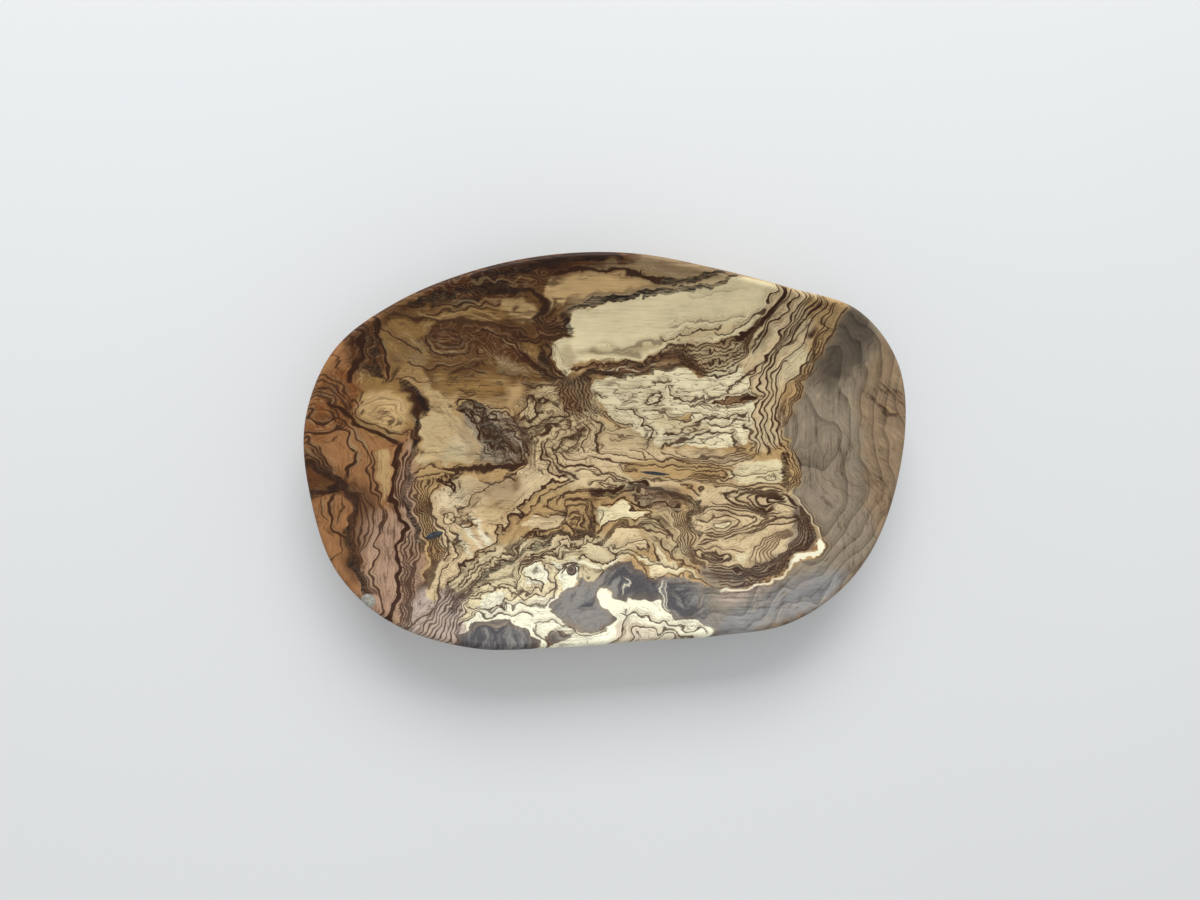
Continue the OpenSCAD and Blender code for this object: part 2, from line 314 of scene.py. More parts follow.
# Dark bands: width, line
DARK = [
    (2.2, [42.8, 35, 39.7, 36.2, 36.6, 38.2, 33.5, 38.8, 29.7, 37.8, 25, 37, 19.7, 35.8, 15, 35, 10.5, 33.6,
        7, 33.2, 3, 34, -1, 34.5, -5, 34.6]),
    (1.5, [30.5, 42.9, 25.8, 42.2, 22.8, 41, 18.2, 39.5, 14.3, 38.3, 8.2, 38.2, 2.8, 37.9, -4.2, 37.4]),
    (2.4, [36, 41, 31, 43.4, 26, 43, 24, 42]),
    (2.4, [-6, 35.4, -11, 33, -15, 31, -19, 29.6]),
    (2.2, [52, 75.6, 48, 74, 44, 72, 38, 71, 28, 70, 18, 69, 8, 67.2, -4, 65.6, -12, 63.6, -18, 61.5,
        -21, 59]),
    (2.4, [48, 77.4, 41, 75.8, 34, 74, 27, 72.8, 20, 73.2]),
    (2.5, [-22, 58.5, -19, 52.5, -24, 53, -30, 54, -34, 57, -31, 60.5, -31.5, 64]),
    (5.0, [0, 84, -16, 82.4, -32, 79, -46, 76.5, -60, 71.5]),
    (3.0, [-48, 70.6, -58, 68.5, -68, 66, -76, 64, -86, 60]),
    (2.2, [-38, 68.5, -50, 67.5, -58, 66, -66, 62, -78, 61]),
    (5.5, [-31, 40, -30, 36, -27, 32]),
    (2.2, [-92, 29, -88, 27, -84.6, 24.6, -83, 20, -81.6, 16, -86, 11, -86, 5, -86, 0]),
    (2.8, [-86, 1, -88, -6, -89, -13, -90, -20, -88.5, -26, -86, -32, -84.5, -38, -82.5, -43]),
    (3.0, [-132, -4, -124, -8, -118, -12, -113, -16.5, -110.6, -21, -110, -25, -111.4, -30, -112.4, -35,
        -112, -40, -110.6, -45, -108.6, -50, -106, -55, -104, -60]),
    (3.5, [-130, -18, -122, -17, -116, -15]),
    (2.4, [-106, 52, -105, 45, -108, 38, -104, 33, -98, 30]),
    (2.0, [-100, 54, -101, 44, -102, 38, -100, 33]),
    (4.0, [-66, 18, -61, 20, -57, 15, -55, 9, -52, 3, -48, 0]),
    (3.0, [-58, 11, -52, 9, -46, 3, -41, -1]),
    (3.0, [-70, -12, -67, -10.4, -63, -8.6, -58, -8.8, -52, -8.6, -47, -7, -45.4, -9, -46, -12]),
    (2.4, [-70, -68, -64, -62.5, -60, -57.4, -56, -55, -52, -52, -48, -49.8, -44.6, -50, -42, -47, -38, -44.6,
        -34, -43, -30, -42, -27, -40.6]),
    (2.0, [-34, -38.4, -28, -38.6, -22, -37.4, -17, -38.4, -13, -39]),
    (4.5, [-13, -38, -9, -37, -8.4, -33]),
    (2.4, [-8, -19.6, 0, -20.6, 6, -18.6, 14, -16.6, 24, -18.8, 34, -22, 40, -24.6]),
    (3.4, [79.4, -3, 79.8, -10, 80, -15.6]),
    (3.0, [41, -24, 38.6, -28, 36, -32, 38, -36.6, 40.6, -38.6]),
    (2.4, [85.6, -26, 88, -31, 89.4, -36, 88.6, -41, 85, -44, 80, -47]),
    (2.4, [78, -51, 72, -54.6, 64, -56, 54, -56.4]),
]

# Ground between the islands, from wide to small:
# colour, share of streaks, share of serration, softness, outline
GROUND = [
    ("honey", 0.5, 0.5, 6, [-60, 40, 50, 60, 110, 80, 100, -50, 40, -60, -70, -80, -90, 0]),
    ("straw", 0.25, 0.4, 4, [-16, 42, -28, 46, -18, 62, 10, 68, 60, 76, 72, 72, 64, 56, 40, 46, 10, 40]),
    ("cocoa", 1.0, 0.2, 8, [-100, 70, -20, 90, -22, 58, -26, 44, -16, 30, -30, 18, -60, 24, -92, 30]),
    ("umber", 1.0, 0.15, 5, [-80, 44, -78, 54, -56, 55, -42, 51, -34, 44, -40, 38, -52, 40, -62, 44,
        -70, 42]),
    ("brass", 1.1, 0.15, 6, [-76, 33, -64, 31, -50, 33, -46, 28, -58, 24, -74, 26]),
    ("honey", 0.4, 0.2, 5, [-22, 66, -10, 68, 10, 70, 22, 73, 10, 76, -12, 76.5, -24, 74]),
    ("umber", 1.2, 0.15, 5, [-90, 66, -62, 62, -36, 68, -28, 75, -8, 79, 10, 83, 0, 92, -60, 90, -96, 70]),
    ("umber", 0.9, 0.4, 4, [-36, 60, -34, 50, -26, 48, -18, 51, -20, 60, -28, 58]),
    ("brass", 0.9, 0.15, 3, [-80, 58, -60, 60.6, -48, 62, -44, 58, -60, 55, -80, 55.6]),
    ("tan", 0.7, 0.15, 5, [-51, 40.4, -46, 39, -40, 36.4, -38, 34, -44, 34.4, -50, 36]),
    ("brass", 0.7, 0.15, 3, [-39, 46, -35, 46.4, -32.6, 44, -34, 41.4, -36.6, 41]),
    ("amber", 0.7, 0.1, 7, [-90, 24, -92, 40, -106, 60, -140, 50, -140, -60, -96, -84, -92, -40, -88, -10]),
    ("umber", 0.9, 0.3, 3, [-111, 50, -98, 54, -98, 40, -98, 32, -108, 28, -112, 38]),
    ("brass", 0.9, 0.1, 6, [-116, 24, -108, 31, -96, 31, -88, 27, -86, 12, -98, 4, -112, 13]),
    ("walnut", 0.7, 0.03, 6, [-112, -16, -104, -16, -100, -26, -102, -40, -104, -56, -113, -50, -114, -30]),
    ("sienna", 0.9, 0.1, 6, [-130, 24, -116, 32, -108, 28, -110, 16, -116, 8, -128, 6]),
    ("umber", 0.8, 0.05, 6, [-132, 4, -124, -2, -114, -12, -112, -19, -122, -19, -132, -16]),
    ("rose", 0.9, 0.1, 8, [-106, -30, -92, -28, -84, -50, -76, -84, -100, -84, -106, -56]),
    ("rose", 0.6, 0.05, 5, [-90, 2, -95, -20, -92, -40, -92, -60, -84, -60, -82, -44, -86, -20, -86, -4]),
    ("dusk", 0.8, 0.5, 1.2, [-92, 27, -85, 25.6, -81.6, 22, -79, 17.6, -84, 15, -83, 11, -83.6, 5, -87, 0,
        -88, 6, -87, 12, -88, 16, -87, 21]),
    ("dusk", 0.6, 0.3, 3, [-85, -62, -83.6, -58, -81.6, -56.6, -81, -60, -83, -63]),
    ("slate", 1.0, 0.6, 4, [-66, 19, -52, 17.6, -37, 9, -38, -4, -48, -8, -60, -4, -64, 8]),
    ("wheat", 0.8, 0.5, 4, [-36, 26, -10, 28, -2, 12, 14, 8, 24, 2, 0, -4, -22, -12, -36, -2]),
    ("honey", 0.9, 0.5, 4, [-24, -19, -6, -19, -6, -28, -8, -38, -16, -40, -22, -34]),
    ("taupe", 0.9, 0.5, 4, [10, -15, 28, -17, 40, -22, 41, -30, 37, -38, 30, -30, 16, -26, 8, -20]),
    ("straw", 0.6, 0.25, 4, [-20, 0, 60, -2, 58, -16, 30, -16, 0, -18, -20, -16]),
    ("honey", 0.6, 0.25, 3, [10, -5, 40, -5.6, 56, -8, 58, -13, 30, -14, 8, -12]),
    ("honey", 0.5, 0.1, 4, [36, -17, 84, -17, 90, -40, 70, -54, 44, -56, 34, -40]),
    ("straw", 0.5, 0.1, 8, [40, -18, 82, -18, 88, -40, 70, -50, 44, -54, 36, -40]),
    ("slate", 0.8, 0.1, 4, [82, -22, 90, -34, 92, -42, 80, -48, 60, -60, 44, -61, 40, -53, 60, -53, 80, -42]),
    ("straw", 0.6, 0.1, 3, [62, 60, 78, 72, 98, 66, 92, 46, 82, 20, 76, 2, 64, 2, 66, 24, 59, 35, 57, 40,
        63, 46]),
    ("honey", 0.7, 0.1, 4, [84, 66, 100, 66, 94, 46, 88, 34, 82, 20, 78, 16, 78, 26, 84, 40, 90, 52]),
    ("smoke", 0.9, 0.8, 2.5, [-10, 34, 0, 32, 10, 32.5, 20, 35.6, 30, 37.4, 36, 36.6, 41, 33, 50, 35, 57, 39,
        62, 47, 66, 57, 62, 54.6, 57, 51, 50, 49, 40, 47.6, 28, 46, 22, 43, 12, 40, 0, 40, -10, 38]),
    ("wheat", 0.9, 0.8, 3, [36, 46, 48, 47, 58, 49, 60, 43, 54, 36, 44, 36, 38, 40]),
    ("smoke", 0.8, 0.5, 3, [-22, 32, -10, 34, -9, 26, -10, 18, -20, 16, -24, 26]),
    ("dove", 1.1, 0.6, 5, [-72, -54, -40, -40, 4, -40, 4, -50, -30, -62, -40, -68, -76, -80]),
    # Partly painted sheen: this ground at the bottom left is paler and greyer than the wood's own tone, as a
    # bluish sheen would make it
    ("clay", 1.0, 0.3, 5, [-88, -66, -78, -58, -66, -62, -60, -68, -66, -86, -86, -84]),
    ("cream", 0.7, 0.6, 4, [-62, -62, -48, -56, -38, -50, -12, -48, -16, -56, -30, -68, -64, -74]),
    ("dusk", 0.6, 0.2, 2, [86, 51.5, 88, 54, 91, 53, 90, 50]),
    ("smoke", 0.6, 0.2, 2, [91, 56, 93, 57.6, 94, 56, 92.4, 54.8]),
    ("wheat", 0.9, 0.3, 5, [14, -30, 30, -28, 36, -40, 34, -50, 20, -44, 14, -38]),
    ("ivory", 0.6, 0.3, 4, [-66, -84, -60, -70, -30, -64, -10, -62, 14, -64, 36, -66, 37, -70, 40, -90,
        -60, -92]),
    ("dove", 0.9, 0.3, 5, [-15, -50.5, -10, -51.5, -6, -53.5, -5, -56, -9, -58.5, -13, -57.5, -15.5, -55]),
    ("slate", 0.7, 0.0, 1.0, GREY_END),
    # Partly painted light: the grey end is darker at its top, as painted shade, and paler and bluer at its
    # bottom, as a painted sheen, over its own changes of tone
    ("mud", 0.5, 0.0, 8, [104, 64, 98, 50, 92, 38, 96, 30, 106, 34, 114, 48, 112, 62]),
    ("ash", 0.7, 0.0, 9, [46, -72, 62, -66, 80, -58, 94, -54, 102, -56, 90, -72, 60, -84, 44, -82]),
    ("taupe", 0.7, 0.0, 6, [120, 54, 114, 36, 110, 22, 112, 5, 114, -30, 130, -50, 145, 0, 130, 50]),
    ("taupe", 0.7, 0.0, 6, [64, -78, 90, -69, 104, -56, 116, -44, 128, -50, 90, -90, 60, -90]),
    ("amber", 0.4, 0.1, 1.2, [88, -44.6, 90.5, -42, 92.6, -40.8, 92.8, -44, 90.4, -45.4]),
]

# Soft clouds over the islands: colour, share, softness, outline
CLOUDS = [
    ("ivory", 0.25, 6, PALE[2][2]),
    ("smoke", 0.5, 6, [-58, -15, -48, -12, -41, -12, -40, -18, -44, -27, -54, -26]),
    ("tan", 0.45, 5, [-70, -14, -60, -13, -58, -20, -62, -26, -70, -20]),
    ("honey", 0.5, 6, [-58, -24, -44, -24, -44, -32, -52, -36, -58, -31]),
    # Painted sheen: the ivory and amber rays, and partly the gold cloud under them, stand for light
    # shimmering off the fibres here
    ("gold", 0.35, 4, [-68, -34, -60, -30, -50, -38, -56, -46, -66, -48]),
    ("ivory", 0.8, 2, [-66, -33.4, -64.4, -33, -56.4, -43.4, -58, -44]),
    ("ivory", 0.8, 2, [-62.4, -30.6, -60.8, -30.4, -53.6, -41, -55.2, -41.6]),
    ("ivory", 0.7, 2, [-68.6, -38, -67, -37.6, -61.6, -45.6, -63, -46]),
    ("amber", 0.45, 2, [-64, -32.4, -63, -32, -55.6, -42.4, -56.6, -43]),
    ("smoke", 0.7, 3, [-44, -11.6, -41, -12, -41.6, -18, -43.6, -18]),
    ("ivory", 0.2, 5, [-76, -20, -70, -16, -64, -17, -65, -24, -72, -27]),
    ("dusk", 0.85, 1.6, [-44.6, 61, -43, 62.2, -41.4, 61, -43, 59.8]),
    ("dusk", 0.85, 1.6, [-45, 54.6, -43.4, 56, -41.6, 54.8, -43.4, 53.4]),
    ("umber", 0.9, 2, [-40.4, 53.6, -38, 56.4, -35.4, 54, -38, 51.4]),
    ("honey", 0.7, 12, [-92, 33, -74, 33, -67, 24, -70, 17, -86, 17, -91, 26]),
    ("tan", 0.2, 9, [-6, 31, 20, 34, 24, 13, 4, 12]),
    ("honey", 0.45, 6, [-82, 8, -74, 14, -66, 10, -70, 3, -80, 2]),
    ("gold", 0.3, 6, [-80, 20, -76, 23, -71, 19, -74, 15, -79, 16]),
    ("ivory", 0.15, 5, [-70, 4, -64, 6, -61, 1, -66, -3, -72, -1]),
    ("gold", 0.4, 5, [-84, 0, -78, 1, -74, -3, -80, -6]),
    ("straw", 0.6, 3, [-78, -50, -74, -47, -70, -52, -76, -60]),
    ("tan", 0.6, 3, [-14, 42.5, 0, 43, 12, 43, 20, 47, 10, 46, -12, 45]),
    ("tan", 0.5, 3, [-24, 42, -20, 46, -16, 42, -19, 36]),
    ("smoke", 0.5, 3, [66, 52, 70, 55, 71, 51, 67, 46]),
    ("honey", 0.4, 3, [10, 46, 22, 49, 40, 54, 56, 55, 44, 50, 26, 47]),
    ("smoke", 0.5, 2, [-89, 18, -85, 19, -82, 15, -87, 12]),
    ("smoke", 0.6, 3, [-95, 41, -91, 41.4, -89.6, 38, -93, 35.6, -95.6, 38]),
    ("tan", 0.6, 3, [-88, 41, -84, 41.4, -81, 38, -84, 35.6, -88, 37]),
    ("smoke", 0.5, 2, [-94, 47.4, -90, 46.6, -86, 44, -83, 41.6, -86, 41.6, -92, 44]),
    ("rose", 0.4, 4, [0, -75, 8, -74, 16, -77, 26, -79, 36, -81, 34, -86, 4, -87, -3, -82]),
    ("tan", 0.4, 4, [-6, 10, 4, 14, 12, 8, 6, 3, -4, 3]),
    ("honey", 0.4, 4, [20, 16, 34, 14, 46, 10, 40, 7, 26, 9]),
    ("smoke", 0.4, 3, [-66, 10, -60, 6, -58, -2, -63, -4, -66, 2]),
    ("honey", 0.75, 5, [-108, 18, -103, 21, -98, 16, -102, 11]),
]

# Burl, with tight lines like the contours of a hill: share, softness, outline
# Where the share is negative, the contours are drawn out along X into wisps
BURL = [
    (-0.7, 6, PALE[2][2]),
    (-0.35, 5, PALE[7][2]),
    (-0.25, 5, PALE[9][2]),
    (-0.3, 5, PALE[16][2]),
    (0.45, 5, [-82, 56, -56, 56, -40, 50, -28, 36, -40, 28, -66, 28, -80, 34]),
    (0.5, 5, [-90, 66, -60, 62, -36, 68, -28, 75, -60, 80, -96, 68]),
    (0.75, 4, [-40, 26, -24, 30, -8, 14, -6, -4, -24, -12, -38, 0]),
    (0.35, 4, [-40, -50, -6, -42, -14, -50, -28, -66, -60, -70, -64, -62]),
    (0.3, 4, [14, -30, 36, -36, 34, -50, 20, -44]),
    (0.3, 6, [44, -18, 80, -20, 86, -38, 70, -50, 46, -52, 40, -40]),
    (0.55, 4, [-67, 20, -62, 21.4, -55, 20, -46, 19, -42, 14, -37, 6, -37, -3, -44, -8, -52, -8, -60, -5,
        -58, 4, -62, 12]),
    (0.8, 3, [-34, 59, -28, 58, -20, 57, -18, 52, -24, 50, -34, 50.4]),
    (0.3, 4, [-24, -18, -8, -18.4, -6, -26, -8, -38, -16, -40, -22, -34]),
    (0.6, 4, [10, -16, 28, -18, 40, -23, 42, -32, 38, -38, 32, -32, 18, -27, 10, -21]),
    (0.4, 4, [-112, 50, -100, 54, -98, 40, -97, 31, -110, 28, -113, 38]),
    (0.45, 5, [-130, 24, -116, 32, -106, 28, -112, 14, -120, 10, -130, 10]),
    (-0.6, 6, [-80, 37, -50, 36, -44, 30, -48, 24, -76, 24]),
]
BURL += [(0.2, 3, outline) for outline in PLUM[2:]]

# Single lines of the figure: width, share of dark (of pale, where it is negative), line
STROKES = [
    (1.6, 0.9, [20, 73.3, 14, 74.8, 8, 76.2, 0, 77.3, -10, 77.2, -18, 76.8, -24, 76.3, -28, 74.3]),
    (0.7, 0.8, [22.5, 49, 24.5, 47.8, 26.5, 49.4, 29, 51.3, 32, 51.6, 35, 52.2, 38, 53.2, 42, 53.8, 46, 54.2,
        49, 54.6]),
    (0.8, 0.8, [46.5, 52.6, 50, 51.9, 53, 52.4, 56, 54.8, 60, 57.4, 64, 60, 67, 61]),
    (0.9, 0.85, [-18, 36, -14, 37, -9.5, 37.4, -5, 38, -2.6, 39, 2.8, 39.2, 8, 39.5, 13.5, 39.5, 16.6, 40.6,
        19.7, 41, 22.4, 42.2, 23.2, 43.7, 25, 45.2, 27.4, 46.2, 32, 46.2]),
    (0.6, -0.5, [-4, 35.8, 1.2, 36, 5.8, 36.6, 9, 35.8, 12.8, 36.4, 17, 37.6, 21, 38.8]),
    (0.6, 0.8, [-12, 34, -8, 35.6, -4, 35.4, 0, 36.4, 5, 35.6, 9, 36.8, 14, 36.8, 18, 38]),
    (1.3, 0.35, [-10, 43.6, 0, 43, 8, 43.2, 12, 42.5]),
    (1.2, 0.35, [0, 44.5, 8, 45.2, 13, 46]),
    (1.4, 0.45, [11, 46, 15, 48, 18, 48.8, 22, 48.7]),
    (0.5, 0.25, [33, 67, 40, 67.4, 46, 69, 53, 69.6]),
    (0.9, 0.4, [26, 55, 32, 56.4, 40, 57, 50, 57.4, 58, 59.6]),
    (0.8, 0.8, [-8, 22.5, -6, 19.5, -3, 17.4, 1, 14.8, 4, 12.4, 7, 10.9, 10, 10.4]),
    (0.6, 0.7, [-8, 19.5, -6, 17.5, -3, 15.8, 0, 13.8, 3, 11.3, 6, 9.6]),
    (0.7, 0.85, [3, 18.6, 6, 18.4, 9, 17.5, 12, 16.5, 13.5, 14.5, 15, 12, 17, 10.6, 18.6, 9.4, 19.6, 7.6,
        18.4, 6, 18.8, 4.6, 16.8, 3.6, 17.8, 2, 16, 0.5]),
    (0.8, 0.85, [17, 21.2, 17.6, 23.4, 19, 25, 21, 26.2, 22.4, 25.4, 23.6, 24, 22.2, 23.2, 22.6, 21.6,
        20.5, 21.2, 18.6, 21.3, 17, 21.2]),
    (0.7, 0.6, [20, 20.3, 22, 20.4, 24.5, 19.8]),
    (0.9, 0.7, [19, 30.2, 21, 30.8, 24, 30.8, 27, 31.7]),
    (0.9, 0.8, [27, 28.8, 26.6, 27, 27.6, 25, 29.5, 23.2, 32, 22.2, 36, 22, 40, 22.6, 44, 23.6, 48, 24.2]),
    (0.7, 0.8, [36, 20.4, 42, 21.4, 46, 23.2, 51, 24.4, 53.5, 25.3, 55.5, 28, 58.5, 30.5, 61, 33, 63, 35.5,
        66, 38, 68.5, 40]),
    (0.5, 0.4, [31, 27, 36, 27, 42, 27.6, 48, 28.6, 52, 29.4]),
    (0.6, 0.9, [46.5, 21.3, 50, 22.5, 54, 23.3, 59, 24.6, 64, 25.1, 67, 24.2, 64, 22.6, 59, 21.8, 53, 21,
        48, 20.8, 46.5, 21.3]),
    (1.8, 1, [60, 23.2, 64, 23.8, 66.5, 24.2]),
    (0.5, 0.7, [42, 25, 48, 24.3, 53, 25, 59, 26, 64, 26.4, 67, 25.4, 69, 24.5]),
    (0.5, 0.7, [34, 20.2, 42, 20.2, 50, 19.6, 57, 20.2, 63, 21.3, 67, 23]),
    (0.45, 0.6, [40, 19, 48, 18.8, 56, 19.2, 62, 20.4, 66, 22]),
    (0.7, 0.7, [20, 17.7, 23, 17, 26, 15.6, 30, 15.1, 34, 16, 38, 16.4, 42, 16, 45, 15.2, 48, 14.6]),
    (0.7, 0.7, [27, 14.2, 32, 13.4, 36, 13.4, 38, 14.6]),
    (0.9, 0.85, [38, 12, 41, 12.8, 44, 14, 47, 13.8, 51, 14.3, 56, 14.6, 60, 15.5, 63, 16.8]),
    (0.8, 0.8, [45, 12, 48, 11.4, 51, 10.6, 54, 11.6, 58, 13.3, 61, 14]),
    (1, 0.9, [25.5, 7, 27.5, 7.4, 30, 7, 33.5, 7]),
    (0.9, 0.8, [32, 7.6, 35, 8.8, 38, 10.3, 41, 12]),
    (0.7, 0.7, [34, 6.2, 38, 8.4, 42, 9.6]),
    (0.9, 0.8, [24, 1.4, 27, 2, 30, 3.2, 34, 4.2, 38, 5.5, 41, 7, 45, 8, 50, 7.6, 54, 7.5, 57, 8.2]),
    (0.7, 0.6, [30, 1.5, 36, 3, 42, 4.3, 46, 5, 50, 6.6]),
    (0.8, 0.8, [55, 7, 56, 5, 57.5, 3.6, 57, 2, 59, 0.6, 62, 0]),
    (0.8, 0.8, [61, 11.5, 62, 9.8, 64, 8.6, 65.5, 6.4, 65, 4, 66, 2, 64, 0]),
    (0.9, 0.4, [4, 28, 8, 27.6, 12, 28, 16, 26.8]),
    (0.9, 0.35, [3, 25, 8, 25.6, 12, 25]),
    (0.9, 0.4, [4, 23, 8, 22.8, 12, 23.2]),
    (0.9, 0.4, [5, 21, 9, 21.3, 12, 21]),
    (0.9, 0.7, [-7, 24.6, -4, 24.3]),
    (1.6, 0.35, [-2, 29.5, 1, 29]),
    (0.6, 0.6, [-2, 6.6, 2, 7, 6, 6.4, 10, 7]),
    (0.6, 0.6, [0, 4.5, 5, 5, 10, 5.4]),
    (0.6, 0.6, [-1, 9, 4, 9.6, 9, 9.4]),
    (0.8, 0.9, [71.3, 72, 70.6, 70, 68, 67.5, 67, 64.8]),
    (2.2, 1, [75, 71.5, 73.5, 68, 71, 64, 69.5, 61, 67.5, 58.5, 66, 56.5, 64.5, 55, 61.5, 53, 58, 51,
        55.5, 49.5]),
    (0.62, 0.9, [78, 71, 75.5, 67, 73.5, 64.5, 71.5, 61.5, 68.8, 57.5, 67.5, 55, 66, 51.5, 64.5, 49, 63, 45,
        61, 42, 60.5, 39]),
    (0.8, 0.9, [80, 71, 79.6, 68, 77.6, 66, 76.2, 64, 76.8, 62, 75.7, 60, 72, 58, 69.5, 56, 68, 53.5,
        66.8, 50.5, 65, 47, 64, 43.5]),
    (0.8, 0.9, [84.5, 70, 83, 65.5, 80.5, 62.5, 79, 60, 78, 57, 76.5, 55, 75, 53, 75, 50, 73.8, 47.5,
        71.8, 44.5, 70.3, 42, 68.8, 40, 66.5, 38, 63.5, 35, 60, 32, 55, 28.5, 54, 26]),
    (0.62, 0.85, [86.5, 70, 85, 66, 82, 62, 80.5, 59, 79, 55.5, 76.5, 52, 75.5, 49, 73.5, 45.5, 71, 42.5,
        69.6, 39.5, 69, 36, 67.5, 34.5, 64.5, 34, 63.5, 31.5, 64, 29, 63.5, 28]),
    (0.72, 0.9, [89, 69, 87.5, 64.5, 84, 60, 82, 56.5, 80, 53, 77.5, 49.5, 75.5, 46, 73.3, 43, 71.5, 41,
        71, 37, 69, 33.5, 68.5, 31, 67, 29, 68.5, 26.5, 70, 25, 69.5, 23.5, 66.5, 20, 66, 17, 66.5, 13,
        66.5, 10, 67, 6, 68, 2, 69, -1]),
    (0.8, 0.9, [91, 69, 90, 65, 87.5, 62, 85, 58, 83, 54.5, 81.5, 51.5, 80.5, 48.5, 77, 45.5, 75, 43.5,
        73.5, 41, 72.5, 37.5, 71.5, 33, 70.5, 30, 71, 27.5, 72, 25.5, 71, 23, 69.5, 20.5, 68.5, 17, 69, 12,
        68.6, 9, 69.5, 5, 71, 1.5, 73, -1]),
    (0.72, 0.85, [94, 68, 93, 64, 91, 62, 88.5, 58.5, 86.5, 54, 86, 50, 85.5, 46.5, 82.5, 44.5, 80, 42.5,
        78, 40, 75.5, 37, 73.5, 34, 73, 30, 73.5, 27, 74, 25, 72.5, 22, 71, 19.5, 71, 16, 71.5, 13, 71, 9,
        72.5, 5, 73.5, 2.5, 75.5, 0]),
    (0.72, 0.85, [80.5, 40.5, 77.5, 38, 76, 34, 75.5, 30, 75.5, 26, 75, 22.5, 74.3, 19, 74, 15, 74.5, 11,
        74, 7.5, 75, 4, 77, 1, 78, -0.5]),
    (0.72, 0.9, [88.5, 39, 86, 37, 84.5, 34, 81.5, 32, 79.8, 30, 79.5, 27, 78, 24.5, 76.5, 21.5, 76, 18,
        75.5, 14.5, 76.5, 10.5, 76.5, 7, 78, 3.5, 80, 0]),
    (0.62, 0.7, [91, 37.5, 88, 34, 85, 31, 83, 27, 81.5, 24, 79.5, 21, 78, 19, 77.5, 16, 77, 13, 78, 9.5,
        78.5, 6.5, 80, 3, 81.5, 0.5]),
    (0.54, 0.6, [92.5, 37, 89, 33, 86.5, 29, 85, 25, 82.5, 20, 80.5, 17]),
    (0.72, 0.85, [96, 64, 93.5, 60, 92, 57, 94, 55, 95.5, 53.5, 93.5, 51.5, 92, 49.5, 91, 47, 90.5, 45,
        91.5, 42.5, 90, 40.5]),
    (0.62, 0.7, [98.5, 65, 97, 60, 95.5, 57.5, 94.5, 55, 95, 52, 93.5, 49]),
    (0.62, 0.7, [100.5, 65, 98.5, 60.5, 96.8, 57, 96, 53, 95, 50]),
    (0.62, 0.7, [102, 63.5, 100, 59, 98.5, 55, 97, 51, 95.5, 47, 93.5, 43.5]),
    (0.55, 0.8, [-8, -0.5, -3, -1.5, 2, -2.2, 7, -3, 12, -3.5, 17, -4.6]),
    (0.55, 0.8, [10, -0.3, 13, -1.3, 16, -3.2, 18, -4.6, 23, -5, 30, -5.3, 40, -5.2, 50, -5.5, 56, -5]),
    (0.55, 0.8, [14, 0, 17, -1.5, 20, -4, 25, -4.8, 32, -5.8, 42, -6.4, 50, -6.8, 55, -7.3]),
    (0.6, 0.8, [24, -0.5, 26, -2.6, 29, -4, 34, -4.3, 42, -4.3, 48, -4.2, 52, -3.4, 58, -2.4, 63, -2]),
    (0.6, 0.8, [30, -0.6, 34, -2.6, 39, -3.5, 46, -3.7, 51, -3, 56, -1.4, 62, -1]),
    (0.6, 0.85, [14, -7.6, 22, -7.4, 30, -7.4, 40, -7.8, 48, -8.3, 53, -9, 56, -10.5, 58.3, -12.8, 55, -13.8,
        48, -14, 40, -13.8, 32, -13.6, 24, -12.6]),
    (0.6, 0.8, [30, -9, 40, -9.6, 47, -10, 52, -11, 54.5, -12.4, 51, -13, 44, -12.8, 36, -12.6]),
    (0.5, 0.7, [38, -10.7, 44, -11, 49, -11.7, 45, -12, 38, -11.8]),
    (0.8, 0.85, [-8, -4.2, -5, -4.3, -2, -4.8, 3, -5.4, 6, -6.2, 10, -7.2]),
    (0.6, 0.8, [12, -5.8, 7, -6.3, 3.4, -7, 5, -8.2, 8, -9.4, 12, -10.3]),
    (0.5, 0.7, [15, -7, 9, -7, 6.5, -7.4, 8.5, -8.6, 12, -9.6]),
    (0.8, 0.85, [-8, -6.5, -6, -8.5, -3, -10.5, 0, -12, 3, -13, 6, -14.4, 8, -15.8]),
    (0.6, 0.8, [-8, -10.6, -4, -10.9, 0, -10.6, 4, -12, 8, -14, 10, -14.8]),
    (0.55, 0.8, [-9, -15, -4, -14, 0, -13.6, 4, -14.4, 7, -15.8]),
    (0.5, 0.8, [-5, -15.3, -2, -14.8, 1, -15, 2.4, -16.2, 1, -17.2, -2, -16.8, -5, -15.3]),
    (1.4, 0.8, [-0.6, -16.2, 0.6, -16.2]),
    (0.6, 0.8, [-9, -17.5, -4, -17.8, 0, -18.4, 3, -17.6, 6, -16.4]),
    (0.6, 0.7, [10, -13.8, 14, -13.1, 20, -13.5, 28, -14.2, 36, -14.5, 44, -14.8, 54, -15.6, 62, -16.6]),
    (0.7, 0.8, [32, -15.5, 36, -17, 38.5, -19, 41, -20]),
    (0.7, 0.8, [40, -17.5, 41.5, -18.8, 43.5, -18, 42, -17, 40, -17.5]),
    (0.6, 0.7, [56, -11.4, 64, -11.4, 70, -10.4, 77, -9.8]),
    (0.5, 0.7, [68, -13, 72, -11.8, 75.5, -11.2, 75, -12.4, 71, -13.4, 68, -13]),
    (0.8, 0.8, [56, -16.2, 62, -16.8, 68, -16, 74, -15.5, 79, -16.5]),
    (0.7, 0.8, [48, -16, 56, -17.3, 64, -18, 72, -17.4, 78, -17.8]),
    (0.8, 0.85, [78, -18.6, 66, -18.8, 56, -18.6, 54, -20, 52.8, -21.6, 55, -23.8, 60, -25.4, 66, -27.4,
        72, -29.4]),
    (0.8, 0.85, [76, -19.2, 66, -19.6, 59, -19.9, 57.5, -21.2, 58.2, -23, 62, -25, 68, -27.2, 73, -28.8,
        76, -29]),
